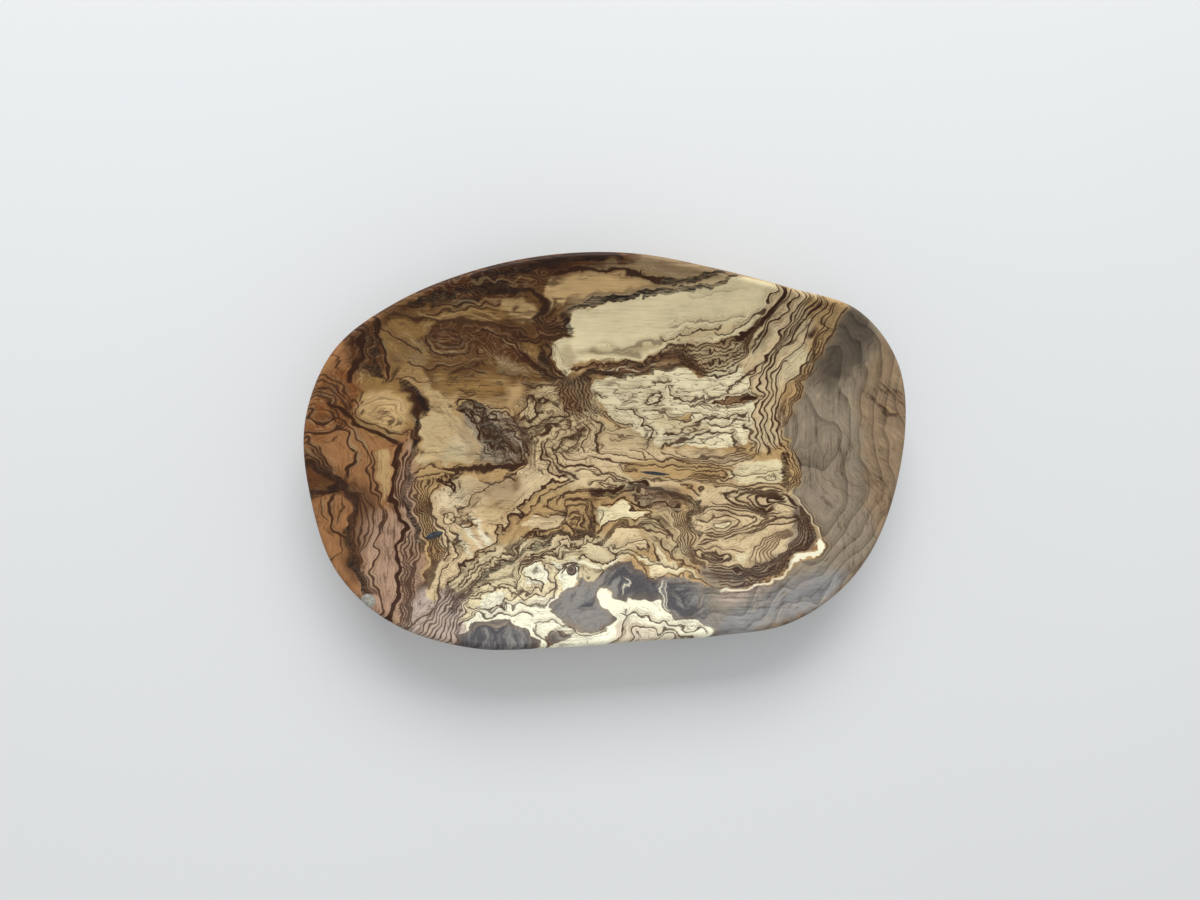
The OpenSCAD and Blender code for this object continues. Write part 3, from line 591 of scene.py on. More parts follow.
    (0.9, 0.9, [76, -19.9, 69, -20.3, 64, -20.8, 62.4, -22.2, 64, -24, 67.5, -25.8, 71.5, -27.5, 74.5, -27]),
    (1, 0.9, [77, -20.8, 71, -21, 67, -21.6, 66.4, -22.4, 68, -24.4, 71, -26, 74, -25.4]),
    (1, 0.95, [78, -22, 73.5, -21.7, 71, -22, 70.2, -23, 72, -24.4, 75.5, -24, 79, -23.3]),
    (1, 0.9, [77.5, -20, 79.5, -20.7, 81, -22, 82.6, -24, 84.5, -26]),
    (0.8, 0.8, [77, -24.8, 80, -25, 83, -26.8, 85, -29]),
    (0.5, 0.8, [46.8, -34.6, 48.5, -33.5, 51, -33.2, 54, -33.3, 55.3, -34, 53.5, -35.2, 50, -35.5,
        47.5, -35.4, 46.8, -34.6]),
    (0.55, 0.8, [40, -33, 43, -32.6, 45, -32, 47, -30.4, 50, -29.8, 54, -30, 57.5, -31.5, 59.4, -33.3,
        57, -35, 53, -36.6, 48, -37, 43, -36.6]),
    (0.6, 0.8, [42, -28.8, 48, -28, 55, -28.6, 61, -30, 66, -31.7, 63, -33.6, 59, -35.4, 54, -37.4, 48, -38.2,
        42, -38.4]),
    (0.7, 0.8, [42, -26.5, 48, -26.2, 55, -26.8, 62, -28.2, 68, -30, 72.5, -31.2, 68, -33.2, 63, -35.2,
        58, -37.2, 52, -38.8, 44, -39.3]),
    (0.7, 0.8, [46, -24.6, 54, -25.2, 62, -26.8, 70, -29.8, 75, -31, 71, -33.6, 65, -36.2, 59, -38.6,
        52, -40.2]),
    (0.9, 0.85, [37, -47, 39, -45.8, 44, -46, 49, -46.9, 53, -48.6, 54.5, -49.6, 50, -50.6, 44, -50.2,
        40, -48.8, 37, -47]),
    (0.9, 0.9, [40, -47.5, 43, -46.8, 47, -47.5, 50, -49, 46, -49.4, 42, -48.8, 40, -47.5]),
    (0.9, 0.9, [43.5, -47.9, 47, -48.6]),
    (0.6, 0.7, [36, -44.6, 42, -44.3, 48, -44.8, 55, -45.6, 59, -45.4]),
    (0.8, 0.8, [40, -43, 44, -42.4, 48, -41]),
    (0.7, 0.8, [41, -41.6, 47, -40.4]),
    (0.7, 0.8, [62, -38, 68, -36, 74, -34, 80, -32.6, 85, -31.6]),
    (0.7, 0.8, [66, -34.8, 73, -32.2, 80, -30.6, 85, -30]),
    (0.6, -0.45, [82.5, -18, 84, -22, 87, -26, 90, -31, 92.3, -35, 93.4, -39, 93.8, -43, 92, -46.8, 89, -47.4,
        86, -46.6, 82, -48.2, 78.6, -51.3, 79, -53.5, 76, -56.3, 71, -58.8, 65, -60.4, 58, -61.7]),
    (1.8, -0.9, [93, -41, 93.4, -44, 91.4, -46.8, 88, -46.8, 83.6, -48.2, 80, -50.4]),
    (1.0, -0.65, [80.4, -50.2, 79, -53, 76.8, -56, 72, -58.8, 65, -60.6, 56, -62, 47, -63.2]),
    (0.5, 0.6, [85, -22, 88, -26.4, 91, -31.4, 93.2, -35.6, 94.6, -40, 95, -43.4, 93.4, -47.4, 90, -48.6]),
    (1.8, 1, [-10, -18.6, -4, -18.9, 0, -18.9, 3, -17.8, 6, -16.6, 10, -14.9, 14, -14.6, 18, -15.3]),
    (0.6, 0.8, [5, -20, 8, -18.6, 11, -18, 14, -18.2]),
    (0.9, 0.9, [-2, -24.6, 1, -23.6, 3, -22.6, 5.5, -22.3, 8, -24.2, 10, -25, 13, -25.4, 16, -26.2, 18, -26,
        20, -24.8, 24, -24.8, 28, -25.6, 32, -25]),
    (0.8, 0.9, [11, -20, 11.5, -23, 13.5, -24.6, 16.5, -25.4, 18.5, -24.2]),
    (0.8, 0.8, [12.5, -22.5, 14.5, -21, 17, -21.4, 19, -20.6]),
    (0.7, 0.85, [8, -25.6, 12, -27.3, 15.5, -27.6, 17.5, -29, 15.5, -29.8, 12, -31, 6, -31.6, 0, -31.8,
        -3, -33.8, -4.5, -36, -6, -39, -8, -40.5]),
    (0.8, 0.8, [18, -30, 22, -32, 24, -34.5, 26, -38, 29, -41, 29.5, -44, 27, -46, 29, -48.6]),
    (0.8, 0.85, [23, -41, 24, -44, 26, -47.5, 30, -50, 35, -52, 39, -54]),
    (0.6, 0.8, [-2, -44.6, 0, -43.4, 4, -43.6, 8, -42.4, 11, -40.8, 13.5, -41, 16, -42, 16.5, -43.6,
        14, -44.6, 11.5, -44]),
    (0.8, 0.7, [0, -46.2, 4, -45.6, 8, -45, 11, -46, 13, -47.5, 16, -49.5, 19, -50.5]),
    (0.8, 0.7, [2, -47.5, 6, -46.6, 9, -47.4, 12, -50, 16, -52, 20, -51.6, 24, -52.6, 28, -52.2, 32, -51.4]),
    (1, 0.9, [18.8, -42, 19.4, -46, 20.4, -50]),
    (0.7, 0.7, [12, -51, 14.5, -53.4, 16, -56, 18, -57, 22, -56.4, 25, -55.8, 29, -56.8, 34, -56.4, 38, -58,
        42, -59.6, 44, -61]),
    (0.8, 0.9, [-14.5, -48.8, -13.6, -46.8, -10, -48.6, -7, -50, -3, -51, 1, -49.2, 2.2, -47, -0.6, -45.6,
        -2, -44.4]),
    (1, -0.7, [-15, -49.6, -10, -50.6, -6, -52.6, -3, -52, 0, -50.6, 2.6, -48]),
    (0.8, 0.8, [-6, -56, -4.6, -54, -5, -52.8]),
    (0.9, 0.85, [-24, -23.6, -22, -20, -19, -18.6, -15, -18.6, -10, -18.6]),
    (0.8, 0.8, [-24.6, -21, -26.6, -22, -28.4, -24.4, -28, -26.4, -24, -27, -21.4, -28.4, -20.6, -31,
        -19, -34]),
    (0.9, 0.9, [-23, -25.6, -21.6, -23, -21, -20]),
    (0.7, 0.8, [-20.6, -27, -20, -24, -18.6, -22, -14, -22.6, -10, -22]),
    (0.7, 0.8, [-34, -29.4, -28, -29.6, -22, -29.6, -20.8, -31.6, -22, -33.6, -25, -34.6, -30, -36.2,
        -36, -36.4, -38.4, -39]),
    (0.7, 0.8, [-18, -28, -15, -28.6, -12, -31, -12.6, -34, -10, -37]),
    (0.7, 0.8, [-19, -31, -16, -30, -14, -31, -14.6, -33.4, -17, -33.6]),
    (0.7, 0.8, [-12, -25, -10, -29, -9, -33, -7, -36]),
    (0.7, 0.8, [-9, -24, -8, -28, -7.6, -31, -5.6, -33.6]),
    (0.9, 0.9, [-46, -5.6, -44.4, -4.8, -42, -6, -40.6, -7, -40, -4, -41, 0]),
    (0.8, 0.85, [-44, -10.4, -41, -9.5, -38.5, -8.6, -38, -6.4, -37, -4.6, -38.6, -2.5, -38.2, 0.6]),
    (0.9, 0.9, [-19, -13.4, -21.5, -14.4, -26, -14.3, -30, -16.6, -34, -18.6, -36, -20.3, -37, -22,
        -39, -22.8, -38.5, -24.4, -41, -25.8, -40.6, -28, -41.4, -30.4, -43, -28.4, -44.5, -28, -46, -30,
        -45.4, -34, -48, -34.6, -50.5, -33.4, -52.2, -34.4, -50.5, -36.6, -50.8, -40, -51.4, -42, -54, -42.6,
        -56.6, -43, -57, -44.5, -60, -45.6, -60.4, -47.4, -64, -48, -64.4, -50, -67, -51, -68, -54, -70, -56,
        -73, -58.5]),
    (0.8, 0.8, [-17, -13.6, -20, -15.4, -24, -17.2, -28, -18.6, -30.5, -21.5, -33.5, -23, -35.6, -25,
        -35.8, -27.6, -38, -28, -40, -28.6]),
    (0.55, 0.8, [-54, -14.6, -54.6, -16.4, -58, -18.4, -61, -19.6, -62.4, -21, -62.6, -23.6, -65, -24.8,
        -67.6, -26, -66.6, -28, -64, -29, -62.6, -28.4]),
    (0.7, 0.8, [-64, -29, -64.6, -31, -66.6, -32.6, -64.6, -33.8, -62.4, -33.4, -63.4, -31]),
    (0.7, 0.8, [-74.4, -30, -73.6, -28, -71, -27.6, -69.4, -29, -69.6, -31.6, -72, -32.4, -74, -31.4,
        -74.4, -30]),
    (1.6, 0.7, [-66.4, -31, -64.8, -30.4]),
    (0.6, 0.8, [-69.4, -32, -67, -32.8, -66.4, -29.6, -69, -29.4]),
    (0.9, 0.7, [-62.8, -30, -61, -31]),
    (0.8, 0.85, [-71, -35, -69.4, -37, -67.6, -38.4, -69.6, -39, -66.8, -40, -69.4, -41.4, -68.8, -44,
        -67.6, -46, -70, -48]),
    (1, 0.9, [-77, -14.2, -74, -14.5, -71.5, -16, -70, -18.4, -68.8, -18, -69.4, -15.4, -71, -13.6,
        -74, -12.8, -77, -12.8]),
    (0.9, 0.85, [-75.5, -15.6, -77, -17.4, -78.5, -20, -80, -22, -79.6, -26, -77.6, -30, -75, -34,
        -73.6, -36.6, -72, -39, -71.4, -41.5, -72.4, -43, -71.6, -45, -73, -46.4]),
    (0.7, 0.75, [-86, -10, -82, -7.6, -78, -7.2, -74, -8.2, -70, -8, -67, -7]),
    (0.7, 0.75, [-87, -14, -84, -11.6, -80, -10.4, -76, -10.6, -72, -11.6, -69, -10.4]),
    (1, 0.7, [-57, -13.6, -54, -15, -49, -14.6, -47, -13, -43, -13]),
    (0.7, 0.85, [-70, -61, -67.2, -57.8, -65, -56, -63.6, -52.8, -61.4, -51.6, -61, -49.4, -59.6, -49.2,
        -59.2, -47.2, -56.6, -45.6, -53.4, -44.2]),
    (0.7, 0.85, [-70, -62.6, -66.6, -59, -64.4, -57.4, -62.8, -54.8, -60.8, -53, -59.4, -52.4, -59.2, -50.4,
        -56.6, -49.4, -53, -49, -53, -47.2, -50.6, -47.8, -49, -47.2, -49, -45.6, -46, -45.4, -44.4, -45.6,
        -43, -43, -42, -41]),
    (0.7, 0.85, [-70, -64, -67, -61.8, -64, -59.4, -61, -57.4, -59, -54, -57, -53.6, -56.6, -50.6,
        -53.4, -50.6, -51.6, -50.6, -49.4, -50, -48.8, -48.8, -46, -48.8, -44.4, -49, -43.2, -47.6,
        -42.4, -45.6, -41.4, -43]),
    (0.7, 0.8, [-70, -66.2, -66.6, -63, -63.4, -60.6, -60.6, -58.4, -58.8, -56.2, -56.6, -55, -54.6, -52.2,
        -52.6, -52]),
    (0.8, 0.85, [-40, -39.4, -38.4, -38.8, -37.4, -36.6, -34.4, -36.2, -30.6, -36.8, -29.4, -35.4, -26, -35,
        -22.8, -34.7, -20, -33.6, -16.8, -35.6, -15.2, -37.8]),
    (0.7, 0.8, [-39, -41, -36.8, -38.4, -34, -37.6, -30, -38.4, -27.8, -37.8, -25, -36.8, -22.2, -35.8,
        -20, -35.2, -17.2, -37.2]),
    (0.7, 0.8, [-37.8, -44.4, -35.6, -43.4, -34, -41.4, -30, -41.4, -27.2, -40, -24.4, -39, -21, -38.4,
        -18.4, -39, -15.4, -40]),
    (0.7, 0.85, [-39.8, -49, -37.8, -48.2, -36, -47.4, -34, -46, -31, -45.8, -29.4, -44.4, -25.6, -44,
        -23.4, -41.8, -21, -40.8, -18.4, -40.8, -16, -42.8, -14.4, -41, -11.6, -39.2, -9, -39, -7.2, -38.4,
        -5.6, -39]),
    (0.7, 0.85, [-40.6, -50.4, -37.2, -49, -34.4, -47.6, -31, -47.2, -29, -45.4, -26.2, -45.6, -25, -47.2,
        -23.4, -45.6, -22.8, -43.8, -20, -43.4, -16.6, -43.4, -14.4, -42.8, -11, -41.6, -8, -41.4,
        -6, -42.8]),
    (0.7, 0.85, [-60, -60, -56, -57.8, -52, -60.4, -49, -58.6, -45, -59, -42.5, -60.5, -41.6, -57.5, -42, -54,
        -40, -50.5, -36, -49, -31, -48, -28, -46.4, -24, -48.6, -22, -47]),
    (0.7, 0.85, [-62, -63.5, -58, -61.5, -55, -62, -51, -60.2, -47, -60.4, -44, -62.4, -42, -63, -40.6, -60.6,
        -38, -62.4, -34, -61, -31.4, -61.4, -30.6, -58, -33, -58, -36, -56.6, -39, -55.6, -40.2, -53,
        -38, -50.6, -35, -50, -31, -49.4]),
    (0.7, 0.85, [-63, -68, -58, -67.5, -54, -69, -51, -67, -49, -68.6, -48, -64.6, -45, -65, -43, -63.6,
        -40, -64.6, -36, -63.4, -32, -64, -28, -62, -25.6, -59.4, -24.4, -56, -24, -53, -22, -51, -19, -50,
        -15.5, -50.4]),
    (0.6, 0.7, [-66, -72, -62, -69.4, -57, -68.6, -53, -69.8, -50, -67.8, -48, -69.4, -47.2, -66.4,
        -44, -67.4, -40, -66.4, -36, -67, -33, -68.4, -29, -66.8, -26.4, -63, -24.8, -58.6]),
    (0.7, 0.8, [-67, -74.6, -63, -71.6, -59, -70, -54, -71.6, -50, -70.6, -44, -71, -40, -70.6, -37, -70.8]),
    (0.7, 0.6, [-36, -73.6, -32, -74, -28, -73.4, -24, -75.4, -21, -75, -17, -78, -13, -79.4, -8, -79,
        -5, -77]),
    (0.7, 0.6, [-35, -75, -34, -78, -31, -80, -28, -77.6, -24, -79, -20, -78]),
    (0.7, 0.8, [-30.6, -50.4, -29.6, -54, -28, -57, -26.6, -58.8]),
    (0.7, 0.8, [-30, -50, -27, -51, -24.6, -52.4]),
    (0.8, 0.85, [-22, -54, -21.4, -51.6, -18.4, -50.2, -15.6, -51.4, -15.4, -54]),
    (1.8, 0.6, [-34.4, -52.6, -33.4, -53.4]),
    (1, 0.5, [-28.4, -51.6, -27.6, -53.6]),
    (0.7, 0.8, [-90, -77, -84, -70.5, -80, -68.5, -77, -66.5, -75.6, -62, -76, -57, -74, -52, -71.6, -49]),
    (0.7, 0.8, [3, -71, 5, -72.8, 7, -70.9, 9, -71, 14, -73, 18, -75.2, 24, -75.6, 29, -77, 32, -78.4,
        36, -77.2, 38, -78]),
    (0.7, 0.8, [5, -72.8, 3, -76, 1, -79.6, -1, -82]),
    (0.7, 0.8, [6.6, -82, 6.6, -78, 8, -76, 11, -75.6, 14, -77.4, 17, -78.6, 20, -77.6, 23, -77, 27, -79,
        32, -80.6, 37, -80]),
    (0.6, 0.7, [18, -80.6, 21, -78.4, 25, -79.4, 30, -81.6]),
    (0.8, -0.6, [22, -58.4, 20.6, -61, 20.4, -64, 22, -67.4, 24, -70.6]),
    (0.6, -0.5, [24, -59.6, 22.6, -62, 22.6, -65, 24, -68]),
    (0.6, -0.5, [6, -56.6, 7.2, -58, 6.6, -59.6, 4.4, -61, 4, -63]),
    (0.9, -0.2, [-60, -76, -57, -73.6, -53, -75, -48, -74]),
    (0.6, 0.0, [-63, -74, -61, -88]),
    (0.6, 0.0, [-55, -73, -54, -88]),
    (0.6, 0.0, [-47, -74, -45, -88]),
    (0.6, 0.0, [-39, -77, -36, -88]),
    (0.8, 0.7, [-36, -76, -33, -79.6, -28, -83]),
    (1.2, -0.15, [36, -69, 38, -66, 40, -64]),
    (0.8, 0.8, [-105.6, 0, -104.6, -3, -104.8, -8, -104.4, -12, -104, -16, -101.6, -20, -99.6, -25, -99, -30,
        -100.2, -35, -101.6, -40, -101, -44, -103, -48, -102.6, -53, -100.6, -58, -98.6, -63, -97.4, -68]),
    (0.8, 0.8, [-103, -1, -103, -7, -103.2, -11, -102, -15.5, -100.6, -19, -98.8, -24, -98.2, -29, -99, -34]),
    (1.6, 1, [-92, 3, -93, 0, -94, -4, -94.6, -9, -95, -14, -95.6, -20, -94, -25, -92, -29, -89.6, -33,
        -91.6, -37, -93, -42, -92.6, -48, -92, -55, -92.4, -60, -94, -66, -94.4, -72]),
    (2, 0.8, [-86.6, -50, -88, -56, -87.6, -63, -88.4, -72]),
    (1, 0.9, [-109.4, -2, -111, -5.4, -112.6, -8, -114, -10.6]),
    (1, 0.9, [-119, -19, -119.4, -24, -118.8, -28, -119.6, -31, -118, -33, -115.6, -34.8, -113, -36]),
    (0.6, 0.7, [-115, -20, -114.6, -24, -116, -27, -116.4, -30]),
    (0.6, 0.7, [-122, -21, -122.4, -25, -121.6, -29]),
    (0.6, 0.7, [-114.8, -36, -114.8, -40, -116.6, -43, -117, -45]),
    (2, 0.9, [-125, -17.4, -121, -17]),
    (2, 0.95, [-109, 52, -106, 48, -107.6, 44, -106.4, 40, -109, 36, -111.6, 32, -112, 29]),
    (1.2, 0.9, [-100.5, 58, -99.4, 51, -99.6, 46, -98.6, 42, -97.4, 38, -96.8, 34, -97, 31]),
    (0.8, 0.8, [-104, 50, -102.6, 46, -104.6, 42, -103, 38]),
    (0.8, 0.7, [-110, 46, -108.6, 44, -110, 42]),
    (0.7, 0.8, [-112, 20, -110.4, 21.6, -109, 19, -110, 16.6, -109.6, 14, -106, 11.6, -102, 10.4, -99, 8.4,
        -96.6, 6.6, -93, 6.6, -90, 8, -88, 7.4, -86.4, 5.4]),
    (1.5, 0.95, [-120, 20, -116, 17, -113, 14.6, -110, 11, -107, 9, -103, 7.6, -99, 6, -96, 4, -92.6, 3.4]),
    (0.7, 0.8, [-121, 16, -116, 13, -112, 10, -110.6, 6, -108, 3, -105.6, 0]),
    (0.9, 0.85, [-128, 18, -127, 14, -125, 11, -121, 11, -118, 14]),
    (1, 0.85, [-131, 16, -129, 9, -126, 6, -121, 7, -117, 9, -114, 8, -113, 5, -112, 2, -110, -1]),
    (1, 0.8, [-132, 8, -128, 4, -125, 0, -122, -4]),
    (1.2, 0.7, [-96, 56, -88, 55.6, -80, 54.6, -72, 54.4, -64, 55, -55, 54.6, -48, 53.6, -43, 52.4,
        -38, 51.4]),
    (0.8, 0.7, [-99, 51, -96, 48.6, -93, 46.6, -90, 45.2, -88, 44.6, -85.6, 42.4, -83, 41]),
    (1.4, -0.3, [-55, 52, -50, 49.6, -46, 47.4, -41.6, 44.4]),
    (0.7, -0.25, [-80, 46, -77.6, 43.6, -74, 42.2, -69, 42, -65, 43.4, -63.8, 46.4]),
    (0.8, 0.7, [-81.6, 48, -80.4, 45, -77, 42, -72, 40.6, -66, 40.4, -62.6, 42.6, -62, 47]),
    (0.7, 0.6, [-77, 49, -74, 51, -70, 51.4, -67, 50, -66, 47.6, -68, 45.4, -72, 44.6, -76, 46]),
    (0.6, -0.2, [-77, 47, -73, 46.6, -70, 47.4]),
    (0.7, -0.3, [-70, 56, -63, 57.4, -57, 56.2, -53, 55]),
    (0.8, -0.3, [-84, 56.6, -78, 55.6, -70, 57.6, -60, 59.4, -55, 58.2, -50, 57]),
    (0.8, -0.25, [-72, 61, -62, 63, -55, 63.4, -50, 64.6]),
    (0.9, -0.25, [-62, 70.6, -50, 71.4, -44, 72.4, -38, 72.4]),
    (0.8, 0.7, [-80, 57, -70, 58.8, -60, 60.6, -52, 60]),
    (0.8, 0.7, [-76, 60, -66, 61.6, -58, 62, -50, 62.6]),
    (0.9, 0.7, [-71, 33, -68, 35, -64, 35.4, -60, 34, -56, 32.6]),
    (0.8, -0.25, [-75, 36.4, -68, 37, -62, 38]),
    (1.4, 0.8, [-60.4, 37.4, -58.6, 37.6]),
    (1.0, 0.7, [-57.6, 38.4, -56.4, 37.6]),
    (0.8, 0.5, [-50, 34, -44, 32.6, -38, 32]),
    (0.8, 0.7, [-39, 28.6, -34, 27.8, -28, 28.8, -24, 29.4]),
    (0.7, -0.3, [-36, 30.4, -30, 29.8, -25, 29]),
    (0.8, 0.7, [-68, 25, -65, 25.6, -62, 25]),
    (0.8, 0.7, [-66, 23, -63, 23.4, -61, 24.4]),
    (0.7, 0.6, [-94, 30, -88, 30.4, -83, 29, -79, 30.6]),
    (0.9, 0.7, [-88, 37, -84, 36, -80, 35, -72, 36, -66, 37, -61, 38.6]),
    (1, 0.85, [-57, 52.6, -52, 50.6, -47, 48.4, -43, 46, -40, 42, -36, 38.4, -31, 36, -27, 33, -22, 30.6]),
    (0.8, 0.7, [-50, 49, -44, 44, -39, 39.6, -33, 35.6]),
    (0.9, 0.9, [-29, 47, -27.4, 44, -27.6, 40, -25.6, 36.6, -23, 34.4, -20.6, 31.6]),
    (0.8, 0.8, [-31, 46, -30, 42, -28, 38, -25, 34, -22, 31]),
    (1.8, 0.9, [-38, 68.6, -34, 67, -31, 64, -29.6, 61.6, -32, 58.4, -34.6, 57]),
    (1, 0.8, [-42, 49.6, -36, 48.6, -30, 49.6, -24, 50.4, -20, 51]),
    (0.8, 0.8, [-40, 47, -34, 47.6, -28, 49, -23, 49.6]),
    (1, 0.95, [-69, 18, -68, 20, -66, 21.6, -62, 21.2, -60, 19.4, -58, 17.6, -56.6, 14, -56.6, 11.6]),
    (0.8, 0.95, [-62, 19, -60.6, 16.6, -59, 15.4, -57.4, 13.6, -57.6, 11.6, -60, 12.6, -61.6, 15, -62.6, 17.6,
        -62, 19]),
    (1, -0.35, [-61.6, 17, -60, 15.4, -58.4, 13]),
    (1.2, 0.95, [-66, 17, -63, 14, -61, 11, -59, 8, -58, 5]),
    (0.8, 0.8, [-56, 19, -52, 18, -48, 18.4, -46, 17.4]),
    (0.8, 0.8, [-54, 16.6, -50, 16, -46, 15.6, -43, 14]),
    (0.8, 0.9, [-55, 14, -53, 13, -51, 14, -53, 15.2, -55, 14]),
    (0.8, 0.85, [-50, 11, -46, 9, -43, 7, -41, 4, -39, 1]),
    (0.8, 0.85, [-48, 12.6, -44, 11, -41.6, 9, -39, 6, -38, 2, -37, -2]),
    (0.8, 0.85, [-45, 14.6, -42.6, 11.6, -40, 8.4, -37.6, 4.4, -37.4, 0]),
    (0.8, 0.9, [-58, 9, -56, 6, -54, 7.6, -56, 9.6, -58, 9]),
    (0.9, 0.9, [-56, 4, -52, 2, -48, 4, -45, 2, -43, -1]),
    (0.9, 0.9, [-57, 1, -53, -1, -49, 1, -46, -2]),
    (0.7, 0.85, [-69, 19.4, -67.8, 17.2, -66, 16, -64, 15.4, -62.2, 13.2, -61, 10.4, -59, 8.2, -58, 5.4]),
    (0.7, 0.85, [-53.4, 8.2, -51, 9.4, -47.8, 8.8, -45.6, 9.8, -44, 8.2, -42.2, 6, -40, 4.2, -39, 2]),
    (0.6, 0.85, [-42.4, 13.8, -41, 10.4, -39, 8.2, -37.2, 6, -36.6, 3.8]),
    (0.6, 0.8, [-66, 19, -64.4, 20, -62, 20, -60.6, 18.8, -59, 17, -57.6, 15]),
    (0.6, 0.8, [-57, 7.4, -55, 5.4, -53.6, 6.4, -52, 4.6, -50, 5.6, -48, 3]),
    (0.6, 0.8, [-55.6, 2.4, -53, 0.6, -50.6, 2.4, -48, 0.6, -46, 1.4, -44.6, -1]),
    (0.6, -0.45, [-42, 12.4, -40.4, 9.6, -38.4, 7.2, -37, 4.6]),
    (0.6, -0.45, [-46.4, 9.2, -43, 7.4, -41, 5.4, -39.4, 3.4]),
    (0.6, -0.4, [-64.6, 18.6, -62.6, 19.2, -60.4, 18.2]),
    (0.6, -0.4, [-54, 17.2, -50, 17.4, -47.4, 16.8]),
    (0.9, -0.5, [-53, 13.8, -52, 14]),
    (0.8, 0.85, [-43, 12.6, -42, 16, -40, 18, -38.6, 19.6, -38, 22, -35.4, 24.4, -33.6, 23, -33.2, 20.4,
        -34, 18.4, -33.4, 16.6, -31.4, 16.2, -30, 17]),
    (0.8, 0.85, [-33.4, 16.6, -34.4, 13.8, -35.8, 11.8, -37.2, 12.6, -38.8, 14.2, -40, 14.2, -41.4, 12.6]),
    (0.8, 0.9, [-40, 9.8, -34.4, 10.2, -31, 11.6, -27.8, 14.2, -25.6, 14.8, -22.8, 15.4, -20.6, 14.4]),
    (1.5, 0.9, [-31, 6.6, -28.8, 8.8, -27.2, 11, -25, 11, -23.8, 10.4]),
    (0.7, 0.8, [-39, 5.4, -35.6, 5.4, -31.6, 6]),
    (1.1, 0.9, [-32, 21.6, -30, 23, -28, 22, -29.6, 20.6, -32, 21.6]),
    (1, 0.85, [-30, 8, -28, 10.6, -25, 11, -22, 13, -18.4, 14]),
    (0.8, 0.75, [-26, 5, -23, 7, -20, 9, -18, 11, -19, 13]),
    (1.2, 0.85, [-8, 14, -5.6, 12, -4.8, 9, -5.8, 6, -6.6, 2, -6.4, -1]),
    (0.8, 0.75, [-12, 12, -10, 9, -10.6, 5, -13, 2, -12, -1]),
    (0.8, 0.75, [-16, 11, -14, 7, -15, 4, -19, 1, -21, -1]),
    (0.9, 0.8, [-25, 0.6, -22, 3, -19, 5, -15, 7, -12, 9]),
    (1, 0.9, [-31, 2, -31, 0, -30.6, -4, -28, -7, -26, -10, -24, -11.4, -20, -12]),
    (0.9, 0.85, [-29, 4, -29.6, 0, -27.6, -4, -25, -8, -22, -10, -17, -11.8, -14, -13]),
    (1, 0.9, [-26, 1, -24, -3, -24, -6, -21, -8, -17, -7.6, -12, -7, -8, -6.4]),
    (0.7, 0.7, [-22, -1, -20, -4, -15, -4.6, -9, -4]),
    (0.7, 0.7, [-16, -10, -11, -9, -8, -10]),
    (0.7, 0.25, [98, 2, 96, -4, 95.4, -9, 97, -14, 102, -18, 107, -20]),
    (0.7, 0.25, [104, -2, 102.4, -7, 104, -11, 107, -15, 111, -17]),
    (0.7, 0.2, [93, 0, 92, -6, 93, -13, 96, -19]),
    (0.7, 0.25, [113, -14, 116, -20, 118, -28]),
    (0.7, 0.25, [111, -22, 113, -28, 114, -36, 117, -42]),
    (0.6, 0.2, [104, 8, 106, 5, 108, 3]),
    (0.6, -0.12, [105, 12, 107, 9, 106, 7]),
    (1.6, 0.55, [118, 20, 120, 18.4, 122, 16, 125, 15.4]),
    (0.8, -0.3, [121.6, 18.6, 123, 17.4, 124.6, 16.8]),
    (1.4, -0.12, [60, -70, 70, -67, 78, -62, 84, -60]),
    (1.6, -0.1, [64, -74, 74, -70, 84, -66]),
    (0.8, 0.8, [-24, -21, -20, -19.5, -14, -19.5, -8, -20.5, -3, -20]),
    (0.7, 0.8, [-23, -25, -20, -22.5, -15, -22, -10, -23.5, -7, -26]),
    (0.7, 0.8, [-22, -28.5, -19.5, -25.5, -15.5, -24.8, -12, -26.5, -10, -30, -9.4, -34]),
    (0.7, 0.8, [-20.6, -31.5, -18.6, -28.2, -15.6, -27.6, -13.2, -29.4, -12.2, -32.6, -12, -36]),
    (0.6, 0.8, [-18.4, -33, -17.6, -30.8, -15.8, -30.2, -14.6, -31.6, -15, -33.4, -16.6, -34]),
    (0.6, 0.7, [-20, -35.6, -17.4, -36.4, -15, -36, -13.4, -37.6]),
    (0.6, 0.35, [-106, 19, -101, 21.6, -95, 21, -91, 18]),
    (0.6, 0.35, [-104, 16, -99, 18.6, -94, 17.4, -92, 14]),
    (0.6, 0.4, [-101, 13.4, -97.6, 14.6, -95, 12.6, -96.6, 10.4, -99.4, 11]),
    (2.2, 0.9, [-74, -7.7, -68, -9.5, -63, -7.8, -55, -8.3, -46.5, -7.7, -42, -7.3, -38, -5.5]),
]

